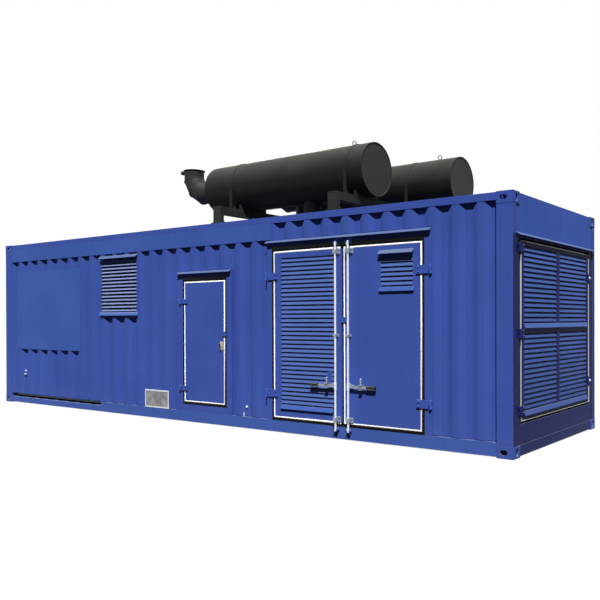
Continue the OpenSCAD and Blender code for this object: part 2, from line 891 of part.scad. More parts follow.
module rod_keepers() {
    color(blue)
        for (x = [left_rod_x, right_rod_x])
            for (z = [rod_foot + shelf_set, rod_top - shelf_set])
                keeper(x, z);
}

// Silencer shell lying along -X from its right end plate at the origin
module silencer() {
    rotate([0, -90, 0])
        rotate([0, 0, 180])
            rotate_extrude()
                polygon([[0, sil_rim], [sil_r - sil_rim, sil_rim], [sil_r - sil_rim, 0], [sil_r, 0],
                         [sil_r, sil_l], [sil_r - sil_rim, sil_l],
                         [sil_r - sil_rim, sil_l - sil_rim], [0, sil_l - sil_rim]]);
}

// Upright ring eye on a collar, from the top of a silencer
module lifting_eye() {
    translate([0, 0, eye_collar_h / 2 + eye_r])
        rotate([90, 0, 0])
            difference() {
                cylinder(r = eye_r, h = eye_t, center = true);
                cylinder(r = eye_hole_r, h = eye_t + overrun, center = true);
            }
    translate([0, 0, -eye_collar_h])
        cylinder(r = eye_collar_r, h = 2 * eye_collar_h);
}

// The same piece on the front and on the rear silencer
module on_silencers() {
    translate([sil_x, -sil_y, sil_z]) children();
    translate([sil_x + sil_shift, sil_y, sil_z]) children();
}

module silencers() {
    color(black)
        on_silencers()
            silencer();
}

module lifting_eyes() {
    color(zinc)
        on_silencers()
            translate([-eye_end, 0, 0])
                difference() {
                    translate([0, 0, sil_r]) lifting_eye();
                    rotate([0, 90, 0])
                        cylinder(r = sil_r + strap_clear_r, h = 4 * eye_r, center = true);
                }
}

// Strap over a silencer, with straight legs down to the beam
module strap(x, y) {
    inner = sil_r + strap_clear_r;
    translate([x - band_w / 2, y, 0]) {
        both_ways([0, 1, 0])
            block([0, band_w], [inner, inner + band_t], [beam_top, sil_z]);
        translate([0, 0, sil_z])
            rotate([0, 90, 0])
                difference() {
                    cylinder(r = inner + band_t, h = band_w);
                    translate([0, 0, -overrun]) cylinder(r = inner, h = band_w + 2 * overrun);
                    block([0, 2 * sil_r], [-2 * sil_r, 2 * sil_r], [-overrun, band_w + overrun]);
                }
    }
}

module silencer_straps() {
    color(black)
        for (x = beam_xs) {
            strap(x - band_w / 2, -sil_y);
            strap(x + band_w / 2, sil_y);
        }
}

module support_posts() {
    color(black)
        for (x = beam_xs)
            both_ways([0, 1, 0]) {
                block([x - beam_w / 2, x + beam_w / 2], [face_y, face_y + top_rail_w],
                      [top_z + post_foot_t, beam_foot]);
                block([x - post_foot_w / 2, x + post_foot_w / 2], [face_y, face_y + top_rail_w],
                      [top_z, top_z + post_foot_t]);
            }
}

// Saddle plates that cradle one silencer on a beam
module saddle(x, y) {
    reach = sil_r * saddle_reach_share;
    difference() {
        block([x - beam_w / 2, x + beam_w / 2], [y - reach, y + reach], [beam_top, beam_top + saddle_h]);
        block([x - beam_w / 2 + saddle_t, x + beam_w / 2 - saddle_t],
              [y - reach - overrun, y + reach + overrun], [beam_top, beam_top + saddle_h + overrun]);
        block([x - beam_w, x + beam_w], [y - sil_r * saddle_in_share, y + sil_r * saddle_in_share],
              [beam_top, beam_top + saddle_h + overrun]);
        translate([x - beam_w, y, sil_z])
            rotate([0, 90, 0])
                cylinder(r = sil_r + strap_clear_r, h = 2 * beam_w);
    }
}

module support_beams() {
    color(black)
        for (x = beam_xs) {
            difference() {
                block([x - beam_w / 2, x + beam_w / 2], [face_y, -face_y], [beam_foot, beam_top]);
                block([x - beam_w / 2 + rail_t, x + beam_w / 2 - rail_t],
                      [face_y - overrun, -face_y + overrun], [beam_foot + rail_t, beam_top - rail_t]);
            }
            for (y = [-sil_y, sil_y])
                saddle(x, y);
        }
}

// Straight pipe that touches the bend at one angle, about the bend's centre
module bend_pipe(angle) {
    reach = 2 * elbow_r;
    rotate([0, angle, 0])
        translate([0, 0, -elbow_r])
            rotate([0, 90, 0])
                difference() {
                    cylinder(r = pipe_r, h = 2 * reach, center = true);
                    cylinder(r = pipe_r - pipe_t, h = 2 * reach + overrun, center = true);
                }
}

// Corner of a mitre cut, out along one ray from the bend's centre
function mitre_ray(angle) = [-2 * elbow_r * sin(angle), -2 * elbow_r * cos(angle)];

// One piece of the outlet: the pipe at one angle, between its mitre cuts
module outlet_piece(angle, outline) {
    intersection() {
        bend_pipe(angle);
        rotate([90, 0, 0])
            linear_extrude(height = 4 * pipe_r, center = true)
                polygon(outline);
    }
}

// Outlet pipe: a stub, two mitred pieces and an upright end, with weld gaps
module outlet_pipe() {
    half = joint_angle / 2 - asin(weld_gap / 2 / elbow_r);
    last = 3 * joint_angle;
    stub_end = stub_l + sil_rim;
    translate([-sil_l - stub_l, 0, elbow_r]) {
        outlet_piece(0, [[0, 0], mitre_ray(half), [stub_end, mitre_ray(half)[1]], [stub_end, 0]]);
        for (angle = [joint_angle, 2 * joint_angle])
            outlet_piece(angle, [[0, 0], mitre_ray(angle - half), mitre_ray(angle + half)]);
        outlet_piece(last, [[0, 0], mitre_ray(last - half),
                            [mitre_ray(last - half)[0], outlet_l], [0, outlet_l]]);
    }
}

// Ears and pin that carry the rain flap at the outlet's rim
module flap_ears() {
    for (side = [-1, 1])
        translate([0, side * (flap_barrel_w / 2 + hinge_end_clear + flap_ear_t / 2), 0])
            rotate([90, 0, 0])
                linear_extrude(height = flap_ear_t, center = true)
                    polygon([[-flap_seat, -flap_ear_drop], [-flap_seat, -flap_ear_set],
                             [-flap_r - flap_gap, -flap_ear_set],
                             [-flap_r - flap_gap, flap_pin_up + flap_barrel_r],
                             [-flap_pin_off - flap_barrel_r, flap_pin_up + flap_barrel_r],
                             [-flap_pin_off - flap_barrel_r, -flap_ear_set]]);
    translate([-flap_pin_off, 0, flap_pin_up])
        rotate([90, 0, 0])
            cylinder(r = flap_pin_r, h = flap_barrel_w + 2 * (hinge_end_clear + flap_ear_t), center = true);
}

module exhaust_elbows() {
    color(black)
        on_silencers()
            outlet_pipe();
}

module flap_hinges() {
    color(black)
        on_silencers()
            translate([-sil_l - stub_l - elbow_r, 0, elbow_r + outlet_l])
                flap_ears();
}

module inlet_pipes() {
    drop = sil_z - top_z + roof_drop;
    color(black)
        on_silencers()
            translate([-sil_l * inlet_share, 0, 0])
                difference() {
                    translate([0, 0, -drop]) {
                        cylinder(r = inlet_r, h = drop);
                        cylinder(r = inlet_flange_r, h = inlet_flange_t);
                    }
                    rotate([0, 90, 0])
                        cylinder(r = sil_r + strap_clear_r, h = 2 * inlet_flange_r, center = true);
                }
}

// Lug on a leaf's edge that reaches over the door frame
module edge_lug(x, z, face, side, h) {
    translate([x, face, z])
        scale_side(side) {
            block([-lug_in, lug_out], [-strap_clear - strap_t, -strap_clear], [-h / 2, h / 2]);
            block([-lug_in, -seal_w], [-strap_clear, 0], [-h / 2, h / 2]);
        }
}

module personnel_door() {
    color(blue) leaf_slab(pd, face_y);
}

module personnel_door_seal() {
    color(white) leaf_seal(pd, face_y);
}

module personnel_door_fittings() {
    color(blue) {
        for (s = pd_hinge_shares)
            moving_hinge(pd_pin_x, along([pd[2], pd[3]], s), face_y, 1, pd_pin, pd_hinge_h);
        edge_lug(pd[1], along([pd[2], pd[3]], pd_lug_share), face_y, 1, lug_h);
    }
}

module personnel_door_lock() {
    color(zinc)
        translate([pd[1] - pd_lock_edge, face_y, along([pd[2], pd[3]], pd_lock_share)])
            rotate([90, 0, 0]) {
                translate([-lock_w / 2, -lock_h / 2, 0]) cube([lock_w, lock_h, lock_t]);
                cylinder(r = lock_knob_r, h = lock_knob_l);
            }
}

module left_leaf() {
    b = leaf_louvre_box;
    color(blue)
        difference() {
            block([ld[0] + seal_w, ld[1]], [face_y, face_y + leaf_t], [ld[2] + seal_w, ld[3] - seal_w]);
            block([b[0], b[1]], [face_y - overrun, face_y + leaf_t + overrun], [b[2], b[3]]);
        }
}

module left_leaf_louvre() {
    b = leaf_louvre_box;
    guide_edge = left_rod_x - end_guide[0] / 2 - strap_clear;
    color(blue) {
        slats(b, leaf_slats, face_y, 0, door_slat_lean);
        sill([b[0], guide_edge], b[2], face_y);
    }
}

module left_leaf_seal() {
    color(white)
        difference() {
            block([ld[0], ld[1]], [face_y, face_y + leaf_t / 2], [ld[2], ld[3]]);
            block([ld[0] + seal_w, ld[1] + overrun], [face_y - overrun, face_y + leaf_t],
                  [ld[2] + seal_w, ld[3] - seal_w]);
        }
}

// Guide on a leaf: a base plate and a block with the bore that a lock rod turns in
module rod_guide(x, z, size) {
    translate([x, face_y, z])
        difference() {
            union() {
                block([-size[0] / 2, size[0] / 2], [-guide_t, 0], [-size[1] / 2, size[1] / 2]);
                block([-size[2] / 2, size[2] / 2], [-rod_off - rod_r - guide_wall, 0],
                      [-size[3] / 2, size[3] / 2]);
            }
            translate([0, -rod_off, 0])
                cylinder(r = rod_r + run_clear, h = size[1] + overrun, center = true);
        }
}

// Fork that holds a handle, on a plate on the leaf, with a knobbed post
module handle_catch(x) {
    across = [-catch_w / 2, catch_w / 2];
    translate([x, face_y, handle_z]) {
        block(across, [-catch_t, 0], [-catch_half, catch_half]);
        for (z = [-catch_half, catch_half - catch_t])
            block(across, [-rod_off - catch_w / 2, -catch_t], [z, z + catch_t]);
        translate([0, -rod_off, catch_half]) {
            cylinder(r = catch_post_r, h = catch_post_h);
            translate([0, 0, catch_post_h]) sphere(r = catch_ball_r);
        }
    }
}

// Guides and catch of one lock rod
module rod_fittings(rod_x, catch_x) {
    range = [dd[2], dd[3]];
    for (s = end_guide_shares)
        rod_guide(rod_x, along(range, s), end_guide);
    rod_guide(rod_x, along(range, mid_guide_share), mid_guide);
    handle_catch(catch_x);
}

module left_leaf_fittings() {
    pad_x = left_rod_x - left_catch_l + catch_pad_out;
    color(blue) {
        for (s = dd_hinge_shares)
            moving_hinge(ld_pin_x, along([ld[2], ld[3]], s), face_y, 1, dd_pin, hinge_h);
        block([pad_x - catch_pad_w / 2, pad_x + catch_pad_w / 2], [face_y, face_y + slat_setback],
              [handle_z - catch_half, handle_z + catch_pad_rise]);
    }
}

module left_rod_fittings() {
    color(zinc) rod_fittings(left_rod_x, left_rod_x - left_catch_l);
}

// Lock rod with its cams at both ends and its handle
module lock_rod(x, side) {
    translate([x, rod_y, 0]) {
        translate([0, 0, rod_foot]) cylinder(r = rod_r, h = rod_top - rod_foot);
        scale_side(side) {
            for (z = [rod_foot + cam_set, rod_top - cam_set - cam_h])
                block([-cam_l, 0], [-cam_w / 2, cam_w / 2], [z, z + cam_h]);
            translate([0, 0, handle_z]) {
                cylinder(r = hub_r, h = hub_h, center = true);
                rotate([90, 0, 0])
                    linear_extrude(height = handle_t, center = true)
                        polygon([[0, -handle_h / 2], [handle_l, -handle_h / 2], [handle_l, handle_h / 2],
                                 [gusset_l, handle_h / 2], [hub_r, hub_h / 2], [0, hub_h / 2]]);
                block([handle_l - grip_l, handle_l], [-grip_t / 2, grip_t / 2], [-grip_h / 2, grip_h / 2]);
            }
        }
    }
}

module left_lock_rod() {
    color(zinc) lock_rod(left_rod_x, -1);
}

module right_leaf() {
    b = small_louvre_box;
    color(blue)
        difference() {
            leaf_slab(rd, face_y);
            block([b[0], b[1]], [face_y - overrun, face_y + leaf_t + overrun], [b[2], b[3]]);
        }
}

module right_leaf_louvre() {
    b = small_louvre_box;
    x = [b[0] - louvre_border / 2, b[1] + louvre_border / 2];
    color(blue) {
        slats(b, small_slats, face_y, 0, door_slat_lean);
        hood(x, b[3] + small_hood_rise, face_y, louvre_hood_d, louvre_hood_drop);
        sill(x, b[2], face_y);
    }
}

module right_leaf_seal() {
    color(white) leaf_seal(rd, face_y);
}

module right_leaf_fittings() {
    color(blue) {
        for (s = dd_hinge_shares)
            moving_hinge(rd_pin_x, along([rd[2], rd[3]], s), face_y, -1, dd_pin, hinge_h);
        edge_lug(rd[0], along([rd[2], rd[3]], rd_lug_share), face_y, -1, lug_h);
    }
}

module right_rod_fittings() {
    color(zinc) rod_fittings(right_rod_x, right_rod_x + right_catch_l);
}

module right_lock_rod() {
    color(zinc) lock_rod(right_rod_x, 1);
}

module end_door() {
    color(blue)
        on_right_end()
            difference() {
                leaf_slab(ed, -end_x);
                for (b = end_louvre_boxes)
                    block([b[0], b[1]], [-end_x - overrun, -end_x + leaf_t + overrun], [b[2], b[3]]);
            }
}

module end_door_louvres() {
    color(blue)
        on_right_end() {
            for (b = end_louvre_boxes)
                slats(b, end_slats, -end_x, 0, door_slat_lean);
            for (b = [end_louvre_boxes[0], end_louvre_boxes[1]])
                sill([ed[0] + end_edge_side, ed[1] - end_edge_side], b[2], -end_x);
        }
}

module end_door_seal() {
    color(white)
        on_right_end()
            leaf_seal(ed, -end_x);
}

module end_door_fittings() {
    color(blue)
        on_right_end() {
            for (s = ed_hinge_shares)
                moving_hinge(ed_pin_y, along([ed[2], ed[3]], s), -end_x, 1, ed_pin, hinge_h);
            for (s = ed_lug_shares)
                edge_lug(ed[1], along([ed[2], ed[3]], s), -end_x, 1, hinge_h);
        }
}

// Rain flap with its barrel, arm and counterweight, about the outlet's rim
module rain_flap() {
    translate([0, 0, flap_gap]) cylinder(r = flap_r, h = flap_t);
    translate([-flap_pin_off, 0, flap_pin_up])
        difference() {
            union() {
                rotate([90, 0, 0]) cylinder(r = flap_barrel_r, h = flap_barrel_w, center = true);
                block([-weight_arm, flap_pin_off - flap_r / 2], [-flap_barrel_r, flap_barrel_r],
                      [-flap_t / 2, flap_t / 2]);
                translate([-weight_arm, 0, 0])
                    rotate([90, 0, 0])
                        cylinder(r = weight_r, h = weight_w, center = true);
            }
            rotate([90, 0, 0])
                cylinder(r = flap_pin_r + run_clear, h = flap_barrel_w + overrun, center = true);
        }
}

module front_rain_flap() {
    color(black) translate([elbow_x, -sil_y, rim_z]) rain_flap();
}

module rear_rain_flap() {
    color(black) translate([elbow_x + sil_shift, sil_y, rim_z]) rain_flap();
}

corner_castings();
corner_posts();
top_side_rails();
bottom_side_rails();
end_rails();
floor();
floor_bearers();
roof();
front_wall();
rear_wall();
left_end_wall();
cover_panels();
bare_plate();
door_frames();
end_door_frame();
rain_hoods();
side_louvre();
frame_hinges();
rod_keepers();
silencers();
lifting_eyes();
silencer_straps();
support_posts();
support_beams();
exhaust_elbows();
flap_hinges();
inlet_pipes();
personnel_door();
personnel_door_seal();
personnel_door_fittings();
personnel_door_lock();
left_leaf();
left_leaf_louvre();
left_leaf_seal();
left_leaf_fittings();
left_rod_fittings();
left_lock_rod();
right_leaf();
right_leaf_louvre();
right_leaf_seal();
right_leaf_fittings();
right_rod_fittings();
right_lock_rod();
end_door();
end_door_louvres();
end_door_seal();
end_door_fittings();
front_rain_flap();
rear_rain_flap();
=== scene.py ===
import json
import math

import bpy
from bpy.props import FloatProperty, FloatVectorProperty, PointerProperty
from mathutils import Matrix, Vector


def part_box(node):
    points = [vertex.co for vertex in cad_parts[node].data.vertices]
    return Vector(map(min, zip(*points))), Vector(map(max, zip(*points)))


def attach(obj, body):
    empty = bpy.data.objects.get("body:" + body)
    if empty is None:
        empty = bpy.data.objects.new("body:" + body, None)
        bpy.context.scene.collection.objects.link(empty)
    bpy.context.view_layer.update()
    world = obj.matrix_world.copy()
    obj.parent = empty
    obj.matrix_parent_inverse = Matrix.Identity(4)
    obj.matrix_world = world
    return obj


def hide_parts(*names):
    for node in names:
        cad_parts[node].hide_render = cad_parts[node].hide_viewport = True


bl_info = {
    "name": "Containerized diesel generator",
    "version": (1, 0, 0),
    "blender": (4, 5, 0),
    "location": "View3D > Sidebar > Generator",
    "description": "Finishes, fittings and stage for a containerized diesel generator",
    "category": "Object",
}

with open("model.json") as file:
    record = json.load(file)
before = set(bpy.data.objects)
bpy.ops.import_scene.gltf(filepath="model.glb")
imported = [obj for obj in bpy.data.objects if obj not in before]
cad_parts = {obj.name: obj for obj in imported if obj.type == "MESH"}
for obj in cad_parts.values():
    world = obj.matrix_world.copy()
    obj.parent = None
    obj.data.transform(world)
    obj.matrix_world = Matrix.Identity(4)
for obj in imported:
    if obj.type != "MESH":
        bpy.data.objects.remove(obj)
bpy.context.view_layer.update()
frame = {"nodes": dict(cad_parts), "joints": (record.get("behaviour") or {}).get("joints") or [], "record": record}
JOINTS = {j["name"]: Vector(j["pos_m"]) for j in frame["joints"]}

# Places that the solids share, in metres
FACE_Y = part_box("door_frames")[0].y
END_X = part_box("end_door_frame")[1].x
RAIL_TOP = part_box("top_side_rails")[1].z
LEDGE_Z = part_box("front_wall")[0].z
WALL_FOLD = 0.039
WALL_TROUGH = FACE_Y + WALL_FOLD
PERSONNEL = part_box("personnel_door_seal")
LEFT_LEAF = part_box("left_leaf_seal")
RIGHT_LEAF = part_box("right_leaf_seal")
END_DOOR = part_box("end_door_seal")
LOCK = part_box("personnel_door_lock")
HOOD_RISE = 0.075
HOOD_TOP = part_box("side_louvre")[1].z + HOOD_RISE
HANDLE_Z = 0.606
SILL_H = 0.062
# How far back from the end's face the painted shade of the end reaches
END_SHADE_REACH = 0.1
OUTWARD, ENDWARD, UP = (0, -1, 0), (1, 0, 0), (0, 0, 1)

# Hinges, lugs and rod guides: heights as shares of the door's, then their own sizes
PERSONNEL_HINGES = (0.115, 0.836)
LEAF_HINGES = (0.147, 0.85)
END_HINGES = (0.063, 0.485, 0.955)
END_LUGS = (0.15, 0.84)
END_GUIDES = (0.027, 0.973)
MID_GUIDE = 0.5
PIN_HALF = 0.045
PERSONNEL_PIN_HALF = 0.0315
STRAP_OUT = 0.013
GUIDE_OUT = 0.007
LUG_IN = 0.01

# Hexagons of bolts, screws and nuts: corner radius and height
GUIDE_BOLT = (0.0095, 0.008)
CLIP_SCREW = (0.0042, 0.004)
LUG_BOLT = (0.013, 0.011)
FOOT_BOLT = (0.014, 0.012)
LOCK_SCREW = (0.0045, 0.003)
STUD_NUT = (0.0125, 0.01)

# Earth studs on the front wall, x and z, and their tabs: size and middle of the foot
STUDS = ((0.985, 0.27), (-4.02, 0.53))
TABS = (((0.014, 0.005, 0.05), (0.956, FACE_Y + 0.015, LEDGE_Z)),
        ((0.06, 0.024, 0.016), (-4.02, WALL_TROUGH - 0.012, 0.466)))

# Door seals: share of its depth that a side door leaves a bulb, share of the bulb's radius at
# the end door, and how far the bulbs stand proud
SEAL_PRESSED = 0.5
SEAL_PROUD = 0.004
END_SEAL_SHARE = 0.6
END_SEAL_PROUD = 0.006

# Support beams: width, height and wall; foot plates: thickness and places of their bolts
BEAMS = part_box("support_beams")
BEAM_W, BEAM_H, BEAM_WALL = 0.13, 0.095, 0.006
BEAM_XS = (BEAMS[0].x + BEAM_W / 2, BEAMS[1].x - BEAM_W / 2)
FOOT_T, FOOT_BOLT_X, FOOT_BOLT_IN = 0.01, 0.087, 0.03

# Silencers: drums, their right ends and axes, then the outlet's bend and its mitres in degrees
DRUM_R = 0.318
DRUM_Z = 3.1183
DRUM_RIM = 0.008
DRUM_L = 2.6
DRUM_SHIFT, DRUM_Y = 0.461, 0.632
DRUM_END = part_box("silencers")[1].x
DRUMS = ((DRUM_END - DRUM_SHIFT, -DRUM_Y), (DRUM_END, DRUM_Y))
BEND_R = 0.29
PIPE_R = 0.1365
STUB_L = 0.277
MITRES, MITRE_HALF = (15, 45, 75), 15

# Stage: the floor's size, its paleness to the object and to the eye, its own glow, the edge of
# the dark under the container, the world's light on the object, the distance of the lamps
FLOOR_R, FLOOR_DROP = 60, 0.001
FLOOR_BOUNCE, FLOOR_SHADE, FLOOR_GLOW = 0.035, 0.16, 0.82
UNDER_IN = 0.12
WORLD_FILL = 0.06
LAMP_FAR = 15

# Camera fitted to the photo: focal length and width in pixels, sensor in mm, shift, turns in
# radians, place
FOCAL_PX, PHOTO_PX, SENSOR_W = 720.78, 600, 36
SHIFT = (-0.1333, 0.036)
YAW, PITCH, ROLL = 0.6009, -0.0032, -0.0026
EYE = (7.4078, -7.6224, 1.352)
FAR_CLIP = 500


def linear(code):
    """sRGB hex digits as linear red, green and blue."""
    parts = [int(code[i:i + 2], 16) / 255 for i in (0, 2, 4)]
    return [p / 12.92 if p <= 0.04045 else ((p + 0.055) / 1.055) ** 2.4 for p in parts]


def rgba(colour):
    return (*colour, 1.0)


class GeneratorColours(bpy.types.PropertyGroup):
    blue: FloatVectorProperty(
        name="Container blue", description="Enamel of the container", subtype="COLOR",
        min=0, max=1, default=linear("3A509C"))
    # Brighter, bluer enamel: painted light on the end face, which the hinges share
    end_lit_blue: FloatVectorProperty(
        name="End blue", description="Fresher enamel over the end door", subtype="COLOR",
        min=0, max=1, default=linear("3A58AE"))
    # Dark enamel: painted shade on the end door's frame and on the posts' faces towards the end
    end_shade_blue: FloatVectorProperty(
        name="Aged blue", description="Older, duller enamel of the end door's frame", subtype="COLOR",
        min=0, max=1, default=linear("1A2254"))
    louvre_blue: FloatVectorProperty(
        name="Louvre blue", description="Enamel of the louvres in the side", subtype="COLOR",
        min=0, max=1, default=linear("345198"))
    end_louvre_blue: FloatVectorProperty(
        name="End louvre blue", description="Enamel of the end door's louvres, at the top", subtype="COLOR",
        min=0, max=1, default=linear("35549C"))
    # Dark enamel: painted shade on the end door's louvres, strongest at the foot
    end_louvre_shade: FloatVectorProperty(
        name="End louvre, aged", description="Enamel of the end door's louvres, at the foot", subtype="COLOR",
        min=0, max=1, default=linear("2B4280"))
    cover_blue: FloatVectorProperty(
        name="Cover blue", description="Enamel of the flat covers and the bottom rails", subtype="COLOR",
        min=0, max=1, default=linear("3B56A0"))
    black: FloatVectorProperty(
        name="Silencer black", description="Heat-proof paint of the exhaust", subtype="COLOR",
        min=0, max=1, default=linear("282928"))
    seal: FloatVectorProperty(
        name="Seal white", description="Rubber round the side doors", subtype="COLOR",
        min=0, max=1, default=linear("FFFFFF"))
    end_seal: FloatVectorProperty(
        name="End seal", description="Yellowed rubber round the end door", subtype="COLOR",
        min=0, max=1, default=linear("B4B5AB"))
    zinc: FloatVectorProperty(
        name="Zinc", description="Galvanised rods and fasteners", subtype="COLOR",
        min=0, max=1, default=linear("DCE3F0"))


class GeneratorSizes(bpy.types.PropertyGroup):
    bolt_r: FloatProperty(
        name="Bolt", description="Corner radius of a hexagon head", subtype="DISTANCE",
        unit="LENGTH", default=0.0095)
    bolt_h: FloatProperty(
        name="Bolt height", description="Height of a hexagon head", subtype="DISTANCE",
        unit="LENGTH", default=0.007)
    seal_r: FloatProperty(
        name="Seal bulb", description="Radius of the rubber bulb", subtype="DISTANCE",
        unit="LENGTH", default=0.0135)
    bead_r: FloatProperty(
        name="Weld bead", description="Radius of a weld bead", subtype="DISTANCE",
        unit="LENGTH", default=0.006)
    cap_t: FloatProperty(
        name="Beam cap", description="Thickness of the caps in the support beams", subtype="DISTANCE",
        unit="LENGTH", default=0.006)


def add(tree, kind, links=None, **settings):
    """A node with its settings, inputs set to values or linked to sockets."""
    made = tree.nodes.new(kind)
    for key, value in settings.items():
        setattr(made, key, value)
    for key, value in (links or {}).items():
        if isinstance(value, bpy.types.NodeSocket):
            tree.links.new(value, made.inputs[key])
        else:
            made.inputs[key].default_value = value
    return made


def blend(tree, share, low, high, **settings):
    """Two colours mixed by a share."""
    return add(tree, "ShaderNodeMix", {0: share, 6: low, 7: high}, data_type="RGBA", **settings).outputs[2]


def span(tree, value, low, high, start, end):
    """A value from low to high, brought to the range from start to end."""
    return add(tree, "ShaderNodeMapRange", {"Value": value, 1: low, 2: high, 3: start, 4: end}).outputs[0]


def reckon(tree, operation, *values):
    """One sum on values or sockets."""
    return add(tree, "ShaderNodeMath", dict(enumerate(values)), operation=operation).outputs[0]


def axes(tree, vector):
    """The X, Y and Z of a vector."""
    return add(tree, "ShaderNodeSeparateXYZ", {0: vector}).outputs


def noise(tree, place, patch, detail, roughness=0.5):
    """Noise in patches of about the given size in metres."""
    return add(tree, "ShaderNodeTexNoise", {"Vector": place, "Scale": 1 / patch, "Detail": detail,
                                            "Roughness": roughness}).outputs["Fac"]


def drawn_out(tree, place, scale):
    """Coordinates scaled along each axis, to draw out a grain."""
    return add(tree, "ShaderNodeMapping", {"Vector": place, "Scale": scale}).outputs[0]


def ramp(tree, value, *stops):
    """A colour between two stops, each a position and a colour."""
    made = add(tree, "ShaderNodeValToRGB", {0: value})
    for element, (position, colour) in zip(made.color_ramp.elements, stops):
        element.position = position
        element.color = rgba(colour)
    return made.outputs[0]


def bump(tree, height, distance, strength, **normal):
    """A normal roughened by a height, over another normal if one is given."""
    return add(tree, "ShaderNodeBump", {"Height": height, "Distance": distance, "Strength": strength,
                                        **normal}).outputs[0]


def start_material(name):
    """A new material's tree, shader and Object coordinates."""
    made = bpy.data.materials.new(name)
    made.use_nodes = True
    tree = made.node_tree
    tree.nodes.clear()
    shader = add(tree, "ShaderNodeBsdfPrincipled")
    add(tree, "ShaderNodeOutputMaterial", {"Surface": shader.outputs[0]})
    place = add(tree, "ShaderNodeTexCoord").outputs["Object"]
    return tree, shader, place


def connect(tree, shader, **sockets):
    """Links sockets to the shader's inputs, their names with _ for a space."""
    for name, socket in sockets.items():
        tree.links.new(socket, shader.inputs[name.replace("_", " ")])


def enamel_on_steel(name, colour, shade_colour=None, shade_z=(2.165, 2.19), end_only=False, grit=0.012,
                    relief=0.0003, sky_sheen=0.2, folds=None, sill=None):
    # Alkyd enamel sprayed on steel: an even semi-gloss colour that fades in clouds, runs
    # down in faint streaks, is rubbed pale along its edges, is painted paler where it leans to
    # the sky as a painted sky reflection, and gathers dust at the foot and on top
    tree, shader, place = start_material(name)
    clouds = noise(tree, place, 0.9, 4.0)
    streaks = noise(tree, drawn_out(tree, place, (18.0, 18.0, 0.9)), 1.0, 5.0, 0.6)
    at = axes(tree, place)
    normal = add(tree, "ShaderNodeNewGeometry").outputs["Normal"]
    towards = axes(tree, normal)
    paint = ramp(tree, clouds, (0.35, [c * 0.95 for c in colour]),
                 (0.7, [min(1, c * 1.06 + 0.003) for c in colour]))
    if shade_colour:
        # Painted shade on the end: darker paint up to its rain hood on the frame, fading upwards on the slats
        end_shade = reckon(tree, "MULTIPLY", span(tree, at["Z"], *shade_z, 1.0, 0.0),
                       reckon(tree, "GREATER_THAN", at["X"], END_X - END_SHADE_REACH))
        if end_only:
            end_shade = reckon(tree, "MULTIPLY", end_shade, reckon(tree, "GREATER_THAN", towards["X"], 0.5))
        paint = blend(tree, end_shade, paint, rgba(shade_colour))
    paint = blend(tree, span(tree, streaks, 0.5, 0.8, 0.0, 0.3), paint, rgba([c * 0.8 for c in colour]))
    dust = reckon(tree, "MULTIPLY", span(tree, at["Z"], 0.0, 0.4, 0.09, 0.0), clouds)
    paint = blend(tree, dust, paint, rgba(linear("7D8390")))
    # Edges rubbed down to the pale primer in spots of about 40 mm
    edges = add(tree, "ShaderNodeBevel", {"Radius": 0.004}, samples=4).outputs[0]
    turn = add(tree, "ShaderNodeVectorMath", {0: edges, 1: normal}, operation="DOT_PRODUCT")
    wear = reckon(tree, "MULTIPLY", span(tree, turn.outputs["Value"], 0.99, 0.8, 0.0, 1.0),
                  span(tree, noise(tree, place, 0.04, 3.0), 0.45, 0.7, 0.05, 0.4))
    paint = blend(tree, wear, paint, rgba(linear("8C9CCB")))
    # Painted sky reflection: the coat is painted paler where its face leans up
    pale = span(tree, towards["Z"], 0.05, 0.5, 0.0, sky_sheen)
    if sill:
        # Less of the painted sky reflection on a louvre's sill
        pale = reckon(tree, "MULTIPLY", pale, span(tree, at["Z"], sill, sill + 0.004, 0.2, 1.0))
    paint = blend(tree, pale, paint, rgba(linear("B2BBCD")))
    settled = span(tree, towards["Z"], 0.55, 0.7, 0.0, 0.4)
    paint = blend(tree, settled, paint, rgba(linear("5F6450")))
    shader.inputs["Specular IOR Level"].default_value = 0.03
    shaped = edges
    if folds:
        # Sky light fills the folds of the sheet: their slopes are shaded as shallower ones
        soft = add(tree, "ShaderNodeBevel", {"Radius": 0.02}, samples=6).outputs[0]
        eased = add(tree, "ShaderNodeVectorMath", {0: soft, 1: folds}, operation="MULTIPLY").outputs[0]
        shaped = add(tree, "ShaderNodeVectorMath", {0: eased}, operation="NORMALIZE").outputs[0]
    # Sheet that is not quite flat, in waves of about 400 mm, under the coat's own grit
    wavy = bump(tree, noise(tree, place, 0.4, 1.0), 0.004, 0.5, Normal=shaped)
    gritty = bump(tree, noise(tree, place, grit, 2.0), relief, 0.3, Normal=wavy)
    connect(tree, shader, Base_Color=paint, Roughness=span(tree, streaks, 0.3, 0.8, 0.46, 0.6), Normal=gritty)


